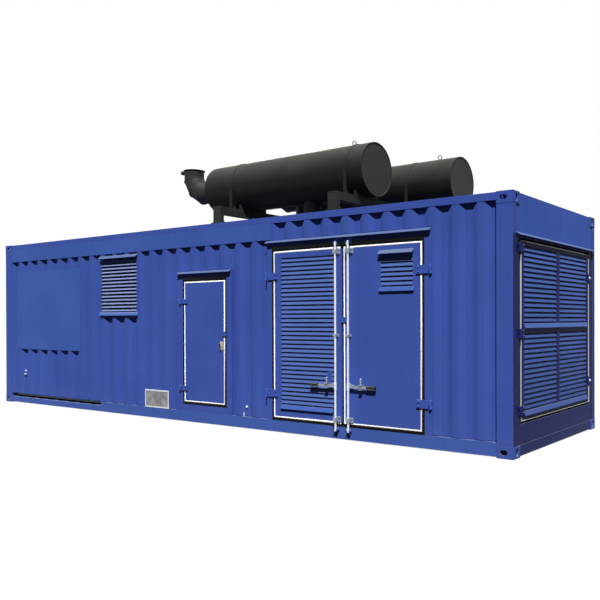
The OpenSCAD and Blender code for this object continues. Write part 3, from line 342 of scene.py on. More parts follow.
def heatproof_black(name, colour, drum=False):
    # Silicone heat-proof paint on rolled steel: dull black, greyer on top, partly from dust and partly as a
    # painted sky sheen
    tree, shader, place = start_material(name)
    blotch = noise(tree, place, 0.3, 6.0)
    towards = axes(tree, add(tree, "ShaderNodeNewGeometry").outputs["Normal"])
    dust = reckon(tree, "MULTIPLY", span(tree, towards["Z"], 0.3, 1.0, 0.0, 0.7), blotch)
    paint = ramp(tree, blotch, (0.35, [c * 0.8 for c in colour]), (0.72, [c * 1.3 for c in colour]))
    if drum:
        # On a drum, painted reflection: the underside is painted near black while the upper half keeps the paint's
        # colour; the ends are lighter grey
        ends = reckon(tree, "ABSOLUTE", towards["X"])
        half = span(tree, reckon(tree, "ADD", towards["Z"], ends), -0.1, 0.3, 0.25, 1.0)
        paint = blend(tree, half, rgba(linear("0C0C0C")), paint)
        paint = blend(tree, ends, paint, rgba(linear("323432")))
    paint = blend(tree, dust, paint, rgba(linear("5C5950")))
    shader.inputs["Specular IOR Level"].default_value = 0.1
    # Brushed-on paint, strokes about 25 mm wide
    strokes = bump(tree, noise(tree, place, 0.025, 3.0), 0.0008, 0.4)
    connect(tree, shader, Base_Color=paint, Roughness=span(tree, blotch, 0.3, 0.7, 0.5, 0.68), Normal=strokes)


def hot_dip_zinc(name, colour, metallic=0.45, low=0.82, wiped=()):
    # Hot-dip galvanised steel: pale spangled metal, crystals about 9 mm across
    tree, shader, place = start_material(name)
    spangle = add(tree, "ShaderNodeTexVoronoi", {"Vector": place, "Scale": 1 / 0.009})
    shade = add(tree, "ShaderNodeSeparateColor", {0: spangle.outputs["Color"]}).outputs[0]
    tone = blend(tree, shade, rgba([c * low for c in colour]), rgba(colour))
    if wiped:
        # The rods themselves are wiped bright, what stands out from them stays dull
        near = [reckon(tree, "COMPARE", axes(tree, place)["X"], x, 0.019) for x in wiped]
        dull = blend(tree, 1.0, tone, rgba(linear("A3A8AE")), blend_type="MULTIPLY")
        tone = blend(tree, reckon(tree, "MAXIMUM", *near), dull, tone)
    shader.inputs["Metallic"].default_value = metallic
    connect(tree, shader, Base_Color=tone, Roughness=span(tree, shade, 0.0, 1.0, 0.34, 0.5))


def door_rubber(name, colour):
    # Extruded EPDM rubber: soft and matt, with a breath of grey grime in patches of 60 mm
    tree, shader, place = start_material(name)
    grime = span(tree, noise(tree, place, 0.06, 4.0), 0.55, 0.8, 0.0, 0.1)
    connect(tree, shader, Base_Color=blend(tree, grime, rgba(colour), rgba([0.75 * c for c in colour])))
    shader.inputs["Roughness"].default_value = 0.55
    shader.inputs["Specular IOR Level"].default_value = 0.1


def mill_sheet(name, low, high):
    # Bare galvanised sheet: dull grey, stained in blotches of 70 mm, with a bright border
    # outside the corners low and high
    tree, shader, place = start_material(name)
    at = axes(tree, place)
    inside = [reckon(tree, "COMPARE", at["XYZ"[i]], (low[i] + high[i]) / 2, (high[i] - low[i]) / 2)
              for i in (0, 2)]
    stained = ramp(tree, noise(tree, place, 0.07, 5.0), (0.35, linear("66676A")), (0.65, linear("8D8E91")))
    connect(tree, shader, Base_Color=blend(
        tree, reckon(tree, "MULTIPLY", *inside), rgba(linear("C9D0DA")), stained))
    shader.inputs["Metallic"].default_value = 0.25
    shader.inputs["Roughness"].default_value = 0.45


def marine_plywood(name):
    # Varnished hardwood plywood: dark brown boards with grain drawn out along the container, darkened as painted
    # shade where the floor shows in the slot of the wall
    tree, shader, place = start_material(name)
    grain = noise(tree, drawn_out(tree, place, (1.2, 30.0, 30.0)), 1.0, 6.0)
    connect(tree, shader, Base_Color=ramp(tree, grain, (0.3, linear("241C16")), (0.7, linear("3A2E24"))))
    shader.inputs["Roughness"].default_value = 0.5


def dipped_pvc(name):
    # Dip-moulded PVC: olive black and satin, scuffed grey in spots of 8 mm
    tree, shader, place = start_material(name)
    scuff = noise(tree, place, 0.008, 3.0)
    connect(tree, shader, Base_Color=ramp(tree, scuff, (0.45, linear("191C14")), (0.75, linear("262A20"))))
    shader.inputs["Roughness"].default_value = 0.5
    shader.inputs["Specular IOR Level"].default_value = 0.2


def finish_of(name):
    return bpy.data.materials[name]


def clear_selection():
    if bpy.context.mode != "OBJECT":
        bpy.ops.object.mode_set(mode="OBJECT")
    bpy.ops.object.select_all(action="DESELECT")


def settle(piece, name, body, material, smooth=30):
    """Places a finished piece's mesh, shades it and lets it ride on its body."""
    clear_selection()
    bpy.context.view_layer.objects.active = piece
    piece.select_set(True)
    bpy.ops.object.transform_apply(location=True, rotation=True, scale=True)
    bpy.ops.object.shade_smooth_by_angle(angle=math.radians(smooth))
    piece.name = name
    piece.data.name = name
    piece.data.materials.clear()
    piece.data.materials.append(finish_of(material))
    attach(piece, body)


def pick(piece, test):
    """Selects, in edit mode, the faces whose centre and normal pass the test."""
    bpy.ops.mesh.select_all(action="DESELECT")
    bpy.ops.object.mode_set(mode="OBJECT")
    for face in piece.data.polygons:
        face.select = test(face.center, face.normal)
    bpy.ops.object.mode_set(mode="EDIT")


def block(middle, size):
    """A box round its middle, left in edit mode with all of it selected."""
    clear_selection()
    bpy.ops.mesh.primitive_cube_add(size=1, location=middle, scale=size)
    made = bpy.context.active_object
    bpy.ops.object.transform_apply(location=True, scale=True)
    bpy.ops.object.mode_set(mode="EDIT")
    bpy.ops.mesh.select_all(action="SELECT")
    return made


def rounded_block(middle, size, rounding, segments):
    """A box with rounded edges, back in object mode."""
    made = block(middle, size)
    bpy.ops.mesh.bevel(offset=rounding, segments=segments)
    bpy.ops.object.mode_set(mode="OBJECT")
    return made


def hex_bolt(radius, height):
    """A hexagon bolt head on a washer, standing on the origin along +Z."""
    clear_selection()
    bpy.ops.mesh.primitive_cylinder_add(vertices=24, radius=radius * 1.35, depth=height * 0.25,
                                        location=(0, 0, height * 0.125))
    washer = bpy.context.active_object
    bpy.ops.mesh.primitive_cylinder_add(vertices=6, radius=radius, depth=height,
                                        location=(0, 0, height * 0.75))
    head = bpy.context.active_object
    bpy.ops.object.mode_set(mode="EDIT")
    bpy.ops.mesh.select_mode(type="FACE")
    pick(head, lambda centre, normal: normal.z > 0.9)
    bpy.ops.mesh.inset(thickness=radius * 0.16, depth=0)
    bpy.ops.transform.translate(value=(0, 0, height * 0.08))
    bpy.ops.object.mode_set(mode="OBJECT")
    return join([washer, head])


def join(objects):
    """The objects as one, in the first one's place."""
    clear_selection()
    for item in objects:
        item.select_set(True)
    bpy.context.view_layer.objects.active = objects[0]
    bpy.ops.object.join()
    bpy.ops.object.transform_apply(location=True, rotation=True, scale=True)
    return bpy.context.active_object


def copies(master, places):
    """Copies of a master at points, each turned so that its +Z looks along a direction."""
    made = []
    for point, direction in places:
        twin = master.copy()
        twin.data = master.data.copy()
        bpy.context.scene.collection.objects.link(twin)
        turn = Vector((0, 0, 1)).rotation_difference(Vector(direction))
        twin.matrix_world = Matrix.Translation(Vector(point)) @ turn.to_matrix().to_4x4()
        made.append(twin)
    bpy.data.objects.remove(master)
    bpy.context.view_layer.update()
    return join(made)


def along(low, high, share):
    """The point at a share of the way from low to high."""
    return low + (high - low) * share


class GENERATOR_OT_finishes(bpy.types.Operator):
    """Makes the finishes and puts them on the solids"""
    bl_idname = "generator.finishes"
    bl_label = "Finishes"

    def execute(self, context):
        colours = context.scene.generator_colours
        enamel_on_steel("blue_enamel", colours.blue)
        # Painted light and shade: a brighter, bluer coat as painted light, and on the end below the hood a dark
        # coat as painted shade
        enamel_on_steel("light_and_shade_enamel", colours.end_lit_blue, shade_colour=colours.end_shade_blue)
        # Sand-cast steel under the enamel: grains drawn at 7 mm
        enamel_on_steel("cast_steel_enamel", colours.blue, grit=0.007, relief=0.0012)
        enamel_on_steel("rolled_sheet_enamel", colours.blue, folds=(0.35, 1, 1))
        # Louvres with a painted sky reflection on their slats, its strength set per louvre
        for node, sky_sheen in (("side_louvre", 0.33), ("left_leaf_louvre", 0.17), ("right_leaf_louvre", 0.17)):
            enamel_on_steel(node + "_enamel", colours.louvre_blue, sky_sheen=sky_sheen,
                            sill=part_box(node)[0].z + SILL_H)
        # Painted shade on the end's louvres, darkest at the foot
        enamel_on_steel("end_louvre_enamel", colours.end_louvre_blue, shade_colour=colours.end_louvre_shade,
                        shade_z=(0.4, 2.0), sky_sheen=0.08)
        # Painted shade on the posts' faces towards the end
        enamel_on_steel("post_enamel", colours.blue, shade_colour=colours.end_shade_blue, end_only=True)
        enamel_on_steel("cover_enamel", colours.cover_blue)
        heatproof_black("heatproof_black", colours.black)
        heatproof_black("drum_black", colours.black, drum=True)
        hot_dip_zinc("galvanised_steel", colours.zinc)
        rods = [JOINTS[joint].x for joint in ("left_rod_turn", "right_rod_turn")]
        hot_dip_zinc("rod_zinc", colours.zinc, wiped=rods)
        hot_dip_zinc("dull_zinc", linear("9FAABC"), 0.35, low=0.55)
        hot_dip_zinc("weathered_zinc", linear("7E817E"), 0.3)
        hot_dip_zinc("nickelled_brass", linear("B2AEA3"), 0.3)
        door_rubber("white_rubber", colours.seal)
        door_rubber("yellowed_rubber", colours.end_seal)
        door_rubber("black_rubber", linear("08080A"))
        low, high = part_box("bare_plate")
        border = 0.02
        mill_sheet("bare_sheet", low + Vector((border, 0, border)), high - Vector((border, 0, border)))
        marine_plywood("floor_plywood")
        dipped_pvc("olive_pvc")
        finishes = {"blue_paint": "blue_enamel", "black_paint": "heatproof_black",
                    "zinc": "galvanised_steel", "seal_rubber": "white_rubber",
                    "bare_steel": "bare_sheet", "floor_plate": "floor_plywood"}
        for part in frame["record"]["subparts"]:
            solid = frame["nodes"][part["node"]]
            solid.data.materials.clear()
            solid.data.materials.append(finish_of(finishes[part["material_slot"]]))
        for material, nodes in (
                ("yellowed_rubber", ("end_door_seal",)),
                ("nickelled_brass", ("personnel_door_lock",)),
                ("cast_steel_enamel", ("corner_castings",)),
                ("post_enamel", ("corner_posts",)),
                ("cover_enamel", ("cover_panels", "bottom_side_rails")),
                ("rolled_sheet_enamel", ("front_wall", "rear_wall")),
                ("side_louvre_enamel", ("side_louvre",)),
                ("left_leaf_louvre_enamel", ("left_leaf_louvre",)),
                ("right_leaf_louvre_enamel", ("right_leaf_louvre",)),
                ("end_louvre_enamel", ("end_door_louvres", "rain_hoods")),
                ("drum_black", ("silencers", "silencer_straps")),
                ("weathered_zinc", ("lifting_eyes",)),
                ("rod_zinc", ("left_lock_rod", "right_lock_rod")),
                ("dull_zinc", ("left_rod_fittings", "right_rod_fittings")),
                ("light_and_shade_enamel", ("end_door", "end_door_frame", "end_door_fittings", "end_rails",
                                 "frame_hinges"))):
            for node in nodes:
                frame["nodes"][node].data.materials[0] = finish_of(material)
        return {"FINISHED"}


class GENERATOR_OT_seals(bpy.types.Operator):
    """Rounds the rubber seals of the four doors"""
    bl_idname = "generator.seals"
    bl_label = "Door seals"

    def execute(self, context):
        radius = context.scene.generator_sizes.seal_r
        for name, body, box, across, open_right, material in (
                ("personnel_door_bulb", "personnel_door", PERSONNEL, "X", False, "white_rubber"),
                ("left_leaf_bulb", "left_leaf", LEFT_LEAF, "X", True, "white_rubber"),
                ("right_leaf_bulb", "right_leaf", RIGHT_LEAF, "X", False, "white_rubber"),
                ("end_door_bulb", "end_door", END_DOOR, "Y", False, "yellowed_rubber")):
            self.bulb(name, body, box, across, open_right, material,
                      radius if across == "X" else radius * END_SEAL_SHARE)
        return {"FINISHED"}

    def bulb(self, name, body, box, across, open_right, material, radius):
        """A round rubber bulb along a door's edge, left open at the right where leaves meet."""
        low, high = box
        middle = (low + high) / 2
        clear_selection()
        if across == "X":
            turn = (math.pi / 2, 0, 0)
            middle.y = low.y + radius * SEAL_PRESSED - SEAL_PROUD
            width = high.x - low.x
        else:
            turn = (math.pi / 2, 0, math.pi / 2)
            middle.x = high.x - radius + END_SEAL_PROUD
            width = high.y - low.y
        bpy.ops.mesh.primitive_plane_add(size=1, location=middle, rotation=turn)
        piece = bpy.context.active_object
        piece.scale = (width - 2 * radius, high.z - low.z - 2 * radius, 1)
        bpy.ops.object.transform_apply(location=True, rotation=True, scale=True)
        bpy.ops.object.mode_set(mode="EDIT")
        bpy.ops.mesh.select_mode(type="EDGE")
        bpy.ops.mesh.select_all(action="DESELECT")
        bpy.ops.object.mode_set(mode="OBJECT")
        for edge in piece.data.edges:
            ends = [piece.data.vertices[v].co.x for v in edge.vertices]
            edge.select = open_right and min(ends) > middle.x
        bpy.ops.object.mode_set(mode="EDIT")
        if open_right:
            bpy.ops.mesh.delete(type="EDGE_FACE")
        else:
            bpy.ops.mesh.select_all(action="SELECT")
            bpy.ops.mesh.delete(type="ONLY_FACE")
        bpy.ops.object.mode_set(mode="OBJECT")
        bpy.ops.object.convert(target="CURVE")
        piece = bpy.context.active_object
        piece.data.dimensions = "3D"
        piece.data.bevel_depth = radius
        piece.data.bevel_resolution = 3
        piece.data.use_fill_caps = True
        bpy.ops.object.convert(target="MESH")
        piece = bpy.context.active_object
        if across == "X":
            # Pressed flat by the door
            bpy.ops.object.mode_set(mode="EDIT")
            bpy.ops.mesh.select_all(action="SELECT")
            bpy.ops.transform.resize(value=(1, SEAL_PRESSED, 1))
            bpy.ops.object.mode_set(mode="OBJECT")
        settle(piece, name, body, material, 60)
        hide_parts(name.replace("_bulb", "_seal"))


class GENERATOR_OT_gaskets(bpy.types.Operator):
    """Lays black rubber in the gaps round the three side doors, on the leaves and on their frames, as painted
    shade of the gaps and, over each head, of the hood's shadow
    """
    bl_idname = "generator.gaskets"
    bl_label = "Door gaskets"

    def execute(self, context):
        for body, box, joins_right in (("personnel_door", PERSONNEL, False), ("left_leaf", LEFT_LEAF, True),
                                       ("right_leaf", RIGHT_LEAF, False)):
            self.gasket(body, box, joins_right)
        # The black bar over each head is the hood's painted shadow; the bars at the sides and foot are black
        # rubber that also paints the shade of the gaps
        gap, lip, thin_lip, head, proud = 0.02, 0.007, 0.002, 0.03, 0.001
        bars = []
        for low, high in (PERSONNEL, (LEFT_LEAF[0], RIGHT_LEAF[1])):
            left, right = low.x - gap, high.x + gap
            foot, top = low.z - gap, high.z + gap
            bars += [self.bar(left - thin_lip, left + proud, foot, top),
                     self.bar(right - proud, right + lip, foot, top),
                     self.bar(left - lip, right + lip, foot - lip, foot + proud),
                     self.bar(left - lip, right + lip, top - proud, top + head)]
        settle(join(bars), "door_frame_edging", "container", "black_rubber")
        return {"FINISHED"}

    def bar(self, left, right, foot, top):
        """A rounded black rubber bar let into the frame's edge, also painted shade."""
        out, depth, rounding = 0.0015, 0.02, 0.001
        front, back = FACE_Y - out, FACE_Y + depth
        return rounded_block(((left + right) / 2, (front + back) / 2, (foot + top) / 2),
                             (right - left, back - front, top - foot), rounding, 2)

    def gasket(self, body, box, joins_right):
        """A flat black rubber frame round a door, without its right side where leaves meet; it also paints the
        shade in the gap.
        """
        reach, lap, front, back = 0.014, 0.002, 0.003, 0.02
        low, high = box[0] - Vector((reach, 0, reach)), box[1] + Vector((reach, 0, reach))
        if joins_right:
            high.x = box[1].x
        middle = (low + high) / 2
        clear_selection()
        bpy.ops.mesh.primitive_plane_add(size=1, location=(middle.x, FACE_Y + back, middle.z),
                                         rotation=(math.pi / 2, 0, 0))
        piece = bpy.context.active_object
        piece.scale = (high.x - low.x, high.z - low.z, 1)
        bpy.ops.object.transform_apply(location=True, rotation=True, scale=True)
        bpy.ops.object.mode_set(mode="EDIT")
        bpy.ops.mesh.select_mode(type="FACE")
        bpy.ops.mesh.select_all(action="SELECT")
        bpy.ops.mesh.inset(thickness=reach + lap, depth=0)
        bpy.ops.mesh.delete(type="FACE")
        if joins_right:
            pick(piece, lambda centre, normal: centre.x > high.x - 2 * reach)
            bpy.ops.mesh.delete(type="FACE")
        bpy.ops.mesh.select_all(action="SELECT")
        bpy.ops.mesh.extrude_region_move(TRANSFORM_OT_translate={"value": (0, front - back, 0)})
        bpy.ops.mesh.select_all(action="SELECT")
        bpy.ops.mesh.normals_make_consistent(inside=False)
        bpy.ops.object.mode_set(mode="OBJECT")
        settle(piece, body + "_gasket", body, "black_rubber")


class GENERATOR_OT_fasteners(bpy.types.Operator):
    """Bolts the hinges, lugs, rod guides and silencer feet"""
    bl_idname = "generator.fasteners"
    bl_label = "Fasteners"

    def execute(self, context):
        sizes = context.scene.generator_sizes
        strap_y = FACE_Y - STRAP_OUT
        reach, spread, small_spread = 0.041, 0.026, 0.018

        def heights(box, shares, step):
            return [along(box[0].z, box[1].z, share) + dz for share in shares for dz in (-step, step)]

        groups = {
            "personnel_door": [((PERSONNEL[0].x + reach, strap_y, z), OUTWARD)
                               for z in heights(PERSONNEL, PERSONNEL_HINGES, small_spread)],
            "left_leaf": [((LEFT_LEAF[0].x + reach, strap_y, z), OUTWARD)
                          for z in heights(LEFT_LEAF, LEAF_HINGES, spread)],
            "right_leaf": [((RIGHT_LEAF[1].x - reach, strap_y, z), OUTWARD)
                           for z in heights(RIGHT_LEAF, LEAF_HINGES, spread)],
            "end_door": [((END_X + STRAP_OUT, END_DOOR[0].y + reach, z), ENDWARD)
                         for z in heights(END_DOOR, END_HINGES, spread)],
        }
        for body, places in groups.items():
            bolts = copies(hex_bolt(sizes.bolt_r, sizes.bolt_h), places)
            settle(bolts, body + "_hinge_bolts", body, "light_and_shade_enamel")
        wing, wing_z, clip_wing = 0.037, 0.019, 0.0248
        for body, joint in (("left_leaf", "left_rod_turn"), ("right_leaf", "right_rod_turn")):
            x, y = JOINTS[joint].x, FACE_Y - GUIDE_OUT
            places = [((x + dx, y, z), OUTWARD)
                      for z in heights(LEFT_LEAF, END_GUIDES, wing_z) for dx in (-wing, wing)]
            big = copies(hex_bolt(*GUIDE_BOLT), places)
            middle = along(LEFT_LEAF[0].z, LEFT_LEAF[1].z, MID_GUIDE)
            small = copies(hex_bolt(*CLIP_SCREW),
                           [((x + dx, y, middle), OUTWARD) for dx in (-clip_wing, clip_wing)])
            settle(join([big, small]), body + "_guide_bolts", body, "dull_zinc")
        places = [((END_X + STRAP_OUT, END_DOOR[1].y - LUG_IN, along(END_DOOR[0].z, END_DOOR[1].z, share)),
                   ENDWARD) for share in END_LUGS]
        lugs = copies(hex_bolt(*LUG_BOLT), places)
        settle(lugs, "end_door_lug_bolts", "end_door", "galvanised_steel")
        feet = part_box("support_posts")
        places = [((x + dx, y, RAIL_TOP + FOOT_T), UP) for x in BEAM_XS
                  for dx in (-FOOT_BOLT_X, FOOT_BOLT_X)
                  for y in (feet[0].y + FOOT_BOLT_IN, feet[1].y - FOOT_BOLT_IN)]
        bolts = copies(hex_bolt(*FOOT_BOLT), places)
        settle(bolts, "support_foot_bolts", "container", "heatproof_black")
        return {"FINISHED"}


class GENERATOR_OT_hinge_pins(bpy.types.Operator):
    """Puts a domed head on every hinge pin"""
    bl_idname = "generator.hinge_pins"
    bl_label = "Hinge pin heads"

    def execute(self, context):
        radius, height = 0.0105, 0.007
        ring, dome = radius * 0.22, height * 0.3
        clear_selection()
        bpy.ops.mesh.primitive_cylinder_add(vertices=24, radius=radius, depth=height,
                                            location=(0, 0, height / 2))
        head = bpy.context.active_object
        bpy.ops.object.mode_set(mode="EDIT")
        bpy.ops.mesh.select_mode(type="FACE")
        for share in (0.25, 0.35, 0.55):
            pick(head, lambda centre, normal: normal.z > 0.9 and centre.length < radius)
            bpy.ops.mesh.inset(thickness=ring, depth=0)
            bpy.ops.transform.translate(value=(0, 0, dome * share))
        bpy.ops.object.mode_set(mode="OBJECT")
        places = []
        for joint, box, shares, half in (
                ("personnel_door_hinge", PERSONNEL, PERSONNEL_HINGES, PERSONNEL_PIN_HALF),
                ("left_leaf_hinge", LEFT_LEAF, LEAF_HINGES, PIN_HALF),
                ("right_leaf_hinge", RIGHT_LEAF, LEAF_HINGES, PIN_HALF),
                ("end_door_hinge", END_DOOR, END_HINGES, PIN_HALF)):
            for share in shares:
                z = along(box[0].z, box[1].z, share) + half
                places.append(((JOINTS[joint].x, JOINTS[joint].y, z), UP))
        settle(copies(head, places), "hinge_pin_heads", "container", "light_and_shade_enamel")
        return {"FINISHED"}


class GENERATOR_OT_beam_caps(bpy.types.Operator):
    """Closes the ends of the support beams with pressed caps"""
    bl_idname = "generator.beam_caps"
    bl_label = "Beam caps"

    def execute(self, context):
        thick = context.scene.generator_sizes.cap_t
        wide, tall = BEAM_W - 2 * BEAM_WALL, BEAM_H - 2 * BEAM_WALL
        rim, slope, dish = 0.012, 0.003, 0.002
        cap = block((0, 0, -thick / 2), (wide, tall, thick))
        bpy.ops.mesh.select_mode(type="FACE")
        pick(cap, lambda centre, normal: normal.z > 0.9)
        bpy.ops.mesh.inset(thickness=rim, depth=0)
        bpy.ops.mesh.inset(thickness=slope, depth=-dish)
        bpy.ops.object.mode_set(mode="OBJECT")
        middle = BEAMS[0].z + BEAM_H / 2
        places = [((x, y, middle), (0, side, 0)) for x in BEAM_XS
                  for y, side in ((BEAMS[0].y, -1), (BEAMS[1].y, 1))]
        settle(copies(cap, places), "support_beam_caps", "container", "heatproof_black")
        return {"FINISHED"}


class GENERATOR_OT_wall_fittings(bpy.types.Operator):
    """Sets the earth studs and their tabs at the foot of the front wall"""
    bl_idname = "generator.wall_fittings"
    bl_label = "Wall fittings"

    def execute(self, context):
        rounding = 0.0015
        studs = copies(self.stud(), [((x, WALL_TROUGH, z), OUTWARD) for x, z in STUDS])
        tabs = join([rounded_block((x, y, z + size[2] / 2), size, rounding, 2) for size, (x, y, z) in TABS])
        settle(join([studs, tabs]), "wall_fittings", "container", "galvanised_steel", 40)
        return {"FINISHED"}

    def stud(self):
        """A cap nut on a washer, standing on the origin along +Z."""
        nut = hex_bolt(*STUD_NUT)
        bpy.ops.object.mode_set(mode="EDIT")
        bpy.ops.mesh.select_mode(type="FACE")
        top = max(v.co.z for v in nut.data.vertices)
        for shrink, rise in ((0.003, 0.005), (0.003, 0.004), (0.0025, 0.002)):
            pick(nut, lambda centre, normal: normal.z > 0.9 and centre.z > top - 1e-5)
            bpy.ops.mesh.inset(thickness=shrink, depth=0)
            bpy.ops.transform.translate(value=(0, 0, rise))
            top += rise
        bpy.ops.object.mode_set(mode="OBJECT")
        return nut


class GENERATOR_OT_hood_closure(bpy.types.Operator):
    """Fills the folds of the wall behind the side louvre's hood with rubber foam"""
    bl_idname = "generator.hood_closure"
    bl_label = "Hood closure"

    def execute(self, context):
        low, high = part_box("side_louvre")
        tall, below, back, short, rounding = 0.02, 0.006, 0.003, 0.01, 0.003
        made = rounded_block(
            ((low.x + high.x) / 2, (FACE_Y + WALL_TROUGH) / 2 + back, HOOD_TOP - below - tall / 2),
            (high.x - low.x - short, WALL_TROUGH - FACE_Y, tall), rounding, 3)
        settle(made, "hood_closure", "container", "black_rubber")
        return {"FINISHED"}


class GENERATOR_OT_lock_plate(bpy.types.Operator):
    """Lays a rounded plate under the personnel door's lock and a pad on its face"""
    bl_idname = "generator.lock_plate"
    bl_label = "Lock plate"

    def execute(self, context):
        middle = (LOCK[0] + LOCK[1]) / 2
        wide, tall, thick = 0.06, 0.112, 0.005
        corner, rim, raised, screw_z = 0.014, 0.002, 0.0015, 0.047
        plate = block((middle.x, FACE_Y - thick / 2, middle.z), (wide, thick, tall))
        bpy.ops.mesh.select_mode(type="EDGE")
        bpy.ops.mesh.select_all(action="DESELECT")
        bpy.ops.object.mode_set(mode="OBJECT")
        for edge in plate.data.edges:
            a, b = (plate.data.vertices[v].co for v in edge.vertices)
            edge.select = abs(a.y - b.y) > thick / 2
        bpy.ops.object.mode_set(mode="EDIT")
        bpy.ops.mesh.bevel(offset=corner, segments=6)
        bpy.ops.mesh.select_mode(type="FACE")
        pick(plate, lambda centre, normal: normal.y < -0.9)
        bpy.ops.mesh.inset(thickness=rim, depth=raised)
        bpy.ops.object.mode_set(mode="OBJECT")
        screws = copies(hex_bolt(*LOCK_SCREW), [((middle.x, FACE_Y - thick, middle.z + dz), OUTWARD)
                                                for dz in (-screw_z, screw_z)])
        settle(join([plate, screws]), "lock_plate", "personnel_door", "nickelled_brass", 40)
        self.pad(middle)
        return {"FINISHED"}

    def pad(self, middle):
        """A dished black pad on the lock's face."""
        size, higher, rim, dish = (0.022, 0.004, 0.04), 0.006, 0.004, 0.0015
        pad = block((middle.x, LOCK[0].y, middle.z + higher), size)
        bpy.ops.mesh.select_mode(type="FACE")
        pick(pad, lambda centre, normal: normal.y < -0.9)
        bpy.ops.mesh.inset(thickness=rim, depth=0)
        bpy.ops.transform.translate(value=(0, dish, 0))
        bpy.ops.object.mode_set(mode="OBJECT")
        settle(pad, "lock_pad", "personnel_door", "olive_pvc")


class GENERATOR_OT_grips(bpy.types.Operator):
    """Pulls ribbed grips over the ends of the two rod handles"""
    bl_idname = "generator.grips"
    bl_label = "Handle grips"

    def execute(self, context):
        ribs, groove, over = 8, 0.88, 0.004
        length, wide, tall = 0.114, 0.025, 0.046
        step = length / (2 * ribs)
        for body, side in (("left_lock_rod", -1), ("right_lock_rod", 1)):
            low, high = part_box(body)
            tip = low.x if side < 0 else high.x
            axis = JOINTS["left_rod_turn" if side < 0 else "right_rod_turn"]
            middle = tip - side * (length / 2 - over)
            clear_selection()
            bpy.ops.mesh.primitive_cylinder_add(
                vertices=24, radius=0.5, depth=length, location=(0, 0, 0),
                rotation=(0, math.pi / 2, 0))
            grip = bpy.context.active_object
            bpy.ops.object.transform_apply(rotation=True)
            grip.scale = (1, wide, tall)
            bpy.ops.object.transform_apply(scale=True)
            bpy.ops.object.mode_set(mode="EDIT")
            for i in range(1, 2 * ribs):
                bpy.ops.mesh.select_all(action="SELECT")
                bpy.ops.mesh.bisect(plane_co=(length * (i / (2 * ribs) - 0.5), 0, 0), plane_no=(1, 0, 0))
            bpy.ops.mesh.select_all(action="DESELECT")
            bpy.ops.object.mode_set(mode="OBJECT")
            for vertex in grip.data.vertices:
                ring = round((vertex.co.x + length / 2) / step)
                vertex.select = ring % 2 == 0 and 0 < ring < 2 * ribs
            bpy.ops.object.mode_set(mode="EDIT")
            bpy.ops.mesh.select_mode(type="VERT")
            bpy.ops.transform.resize(value=(1, groove, groove))
            bpy.ops.object.mode_set(mode="OBJECT")
            grip.location = (middle, axis.y, HANDLE_Z)
            settle(grip, body + "_grip", body, "olive_pvc", 50)
        return {"FINISHED"}


class GENERATOR_OT_welds(bpy.types.Operator):
    """Lays weld beads on the silencers and their mitred elbows"""
    bl_idname = "generator.welds"
    bl_label = "Weld beads"

    def execute(self, context):
        bead = context.scene.generator_sizes.bead_r
        rings = []

        def ring(centre, radius, tilt, stretch=1.0):
            bpy.ops.mesh.primitive_torus_add(
                major_segments=96, minor_segments=10, major_radius=radius, minor_radius=bead,
                location=centre, rotation=(0, tilt, 0))
            made = bpy.context.active_object
            made.scale = (stretch, 1, 1)
            rings.append(made)

        clear_selection()
        stretch = 1 / math.cos(math.radians(MITRE_HALF))
        for right, y in DRUMS:
            left = right - DRUM_L
            centre = Vector((left - STUB_L, y, DRUM_Z + BEND_R))
            for angle in MITRES:
                a = math.radians(angle)
                at = centre + Vector((-math.sin(a), 0, -math.cos(a))) * BEND_R * stretch
                ring(at, PIPE_R, math.pi / 2 + a, stretch)
            ring((left + DRUM_RIM, y, DRUM_Z), PIPE_R, math.pi / 2)
            for x in (left + DRUM_RIM, right - DRUM_RIM):
                ring((x, y, DRUM_Z), DRUM_R - DRUM_RIM, math.pi / 2)
        settle(join(rings), "exhaust_weld_beads", "container", "heatproof_black", 60)
        return {"FINISHED"}


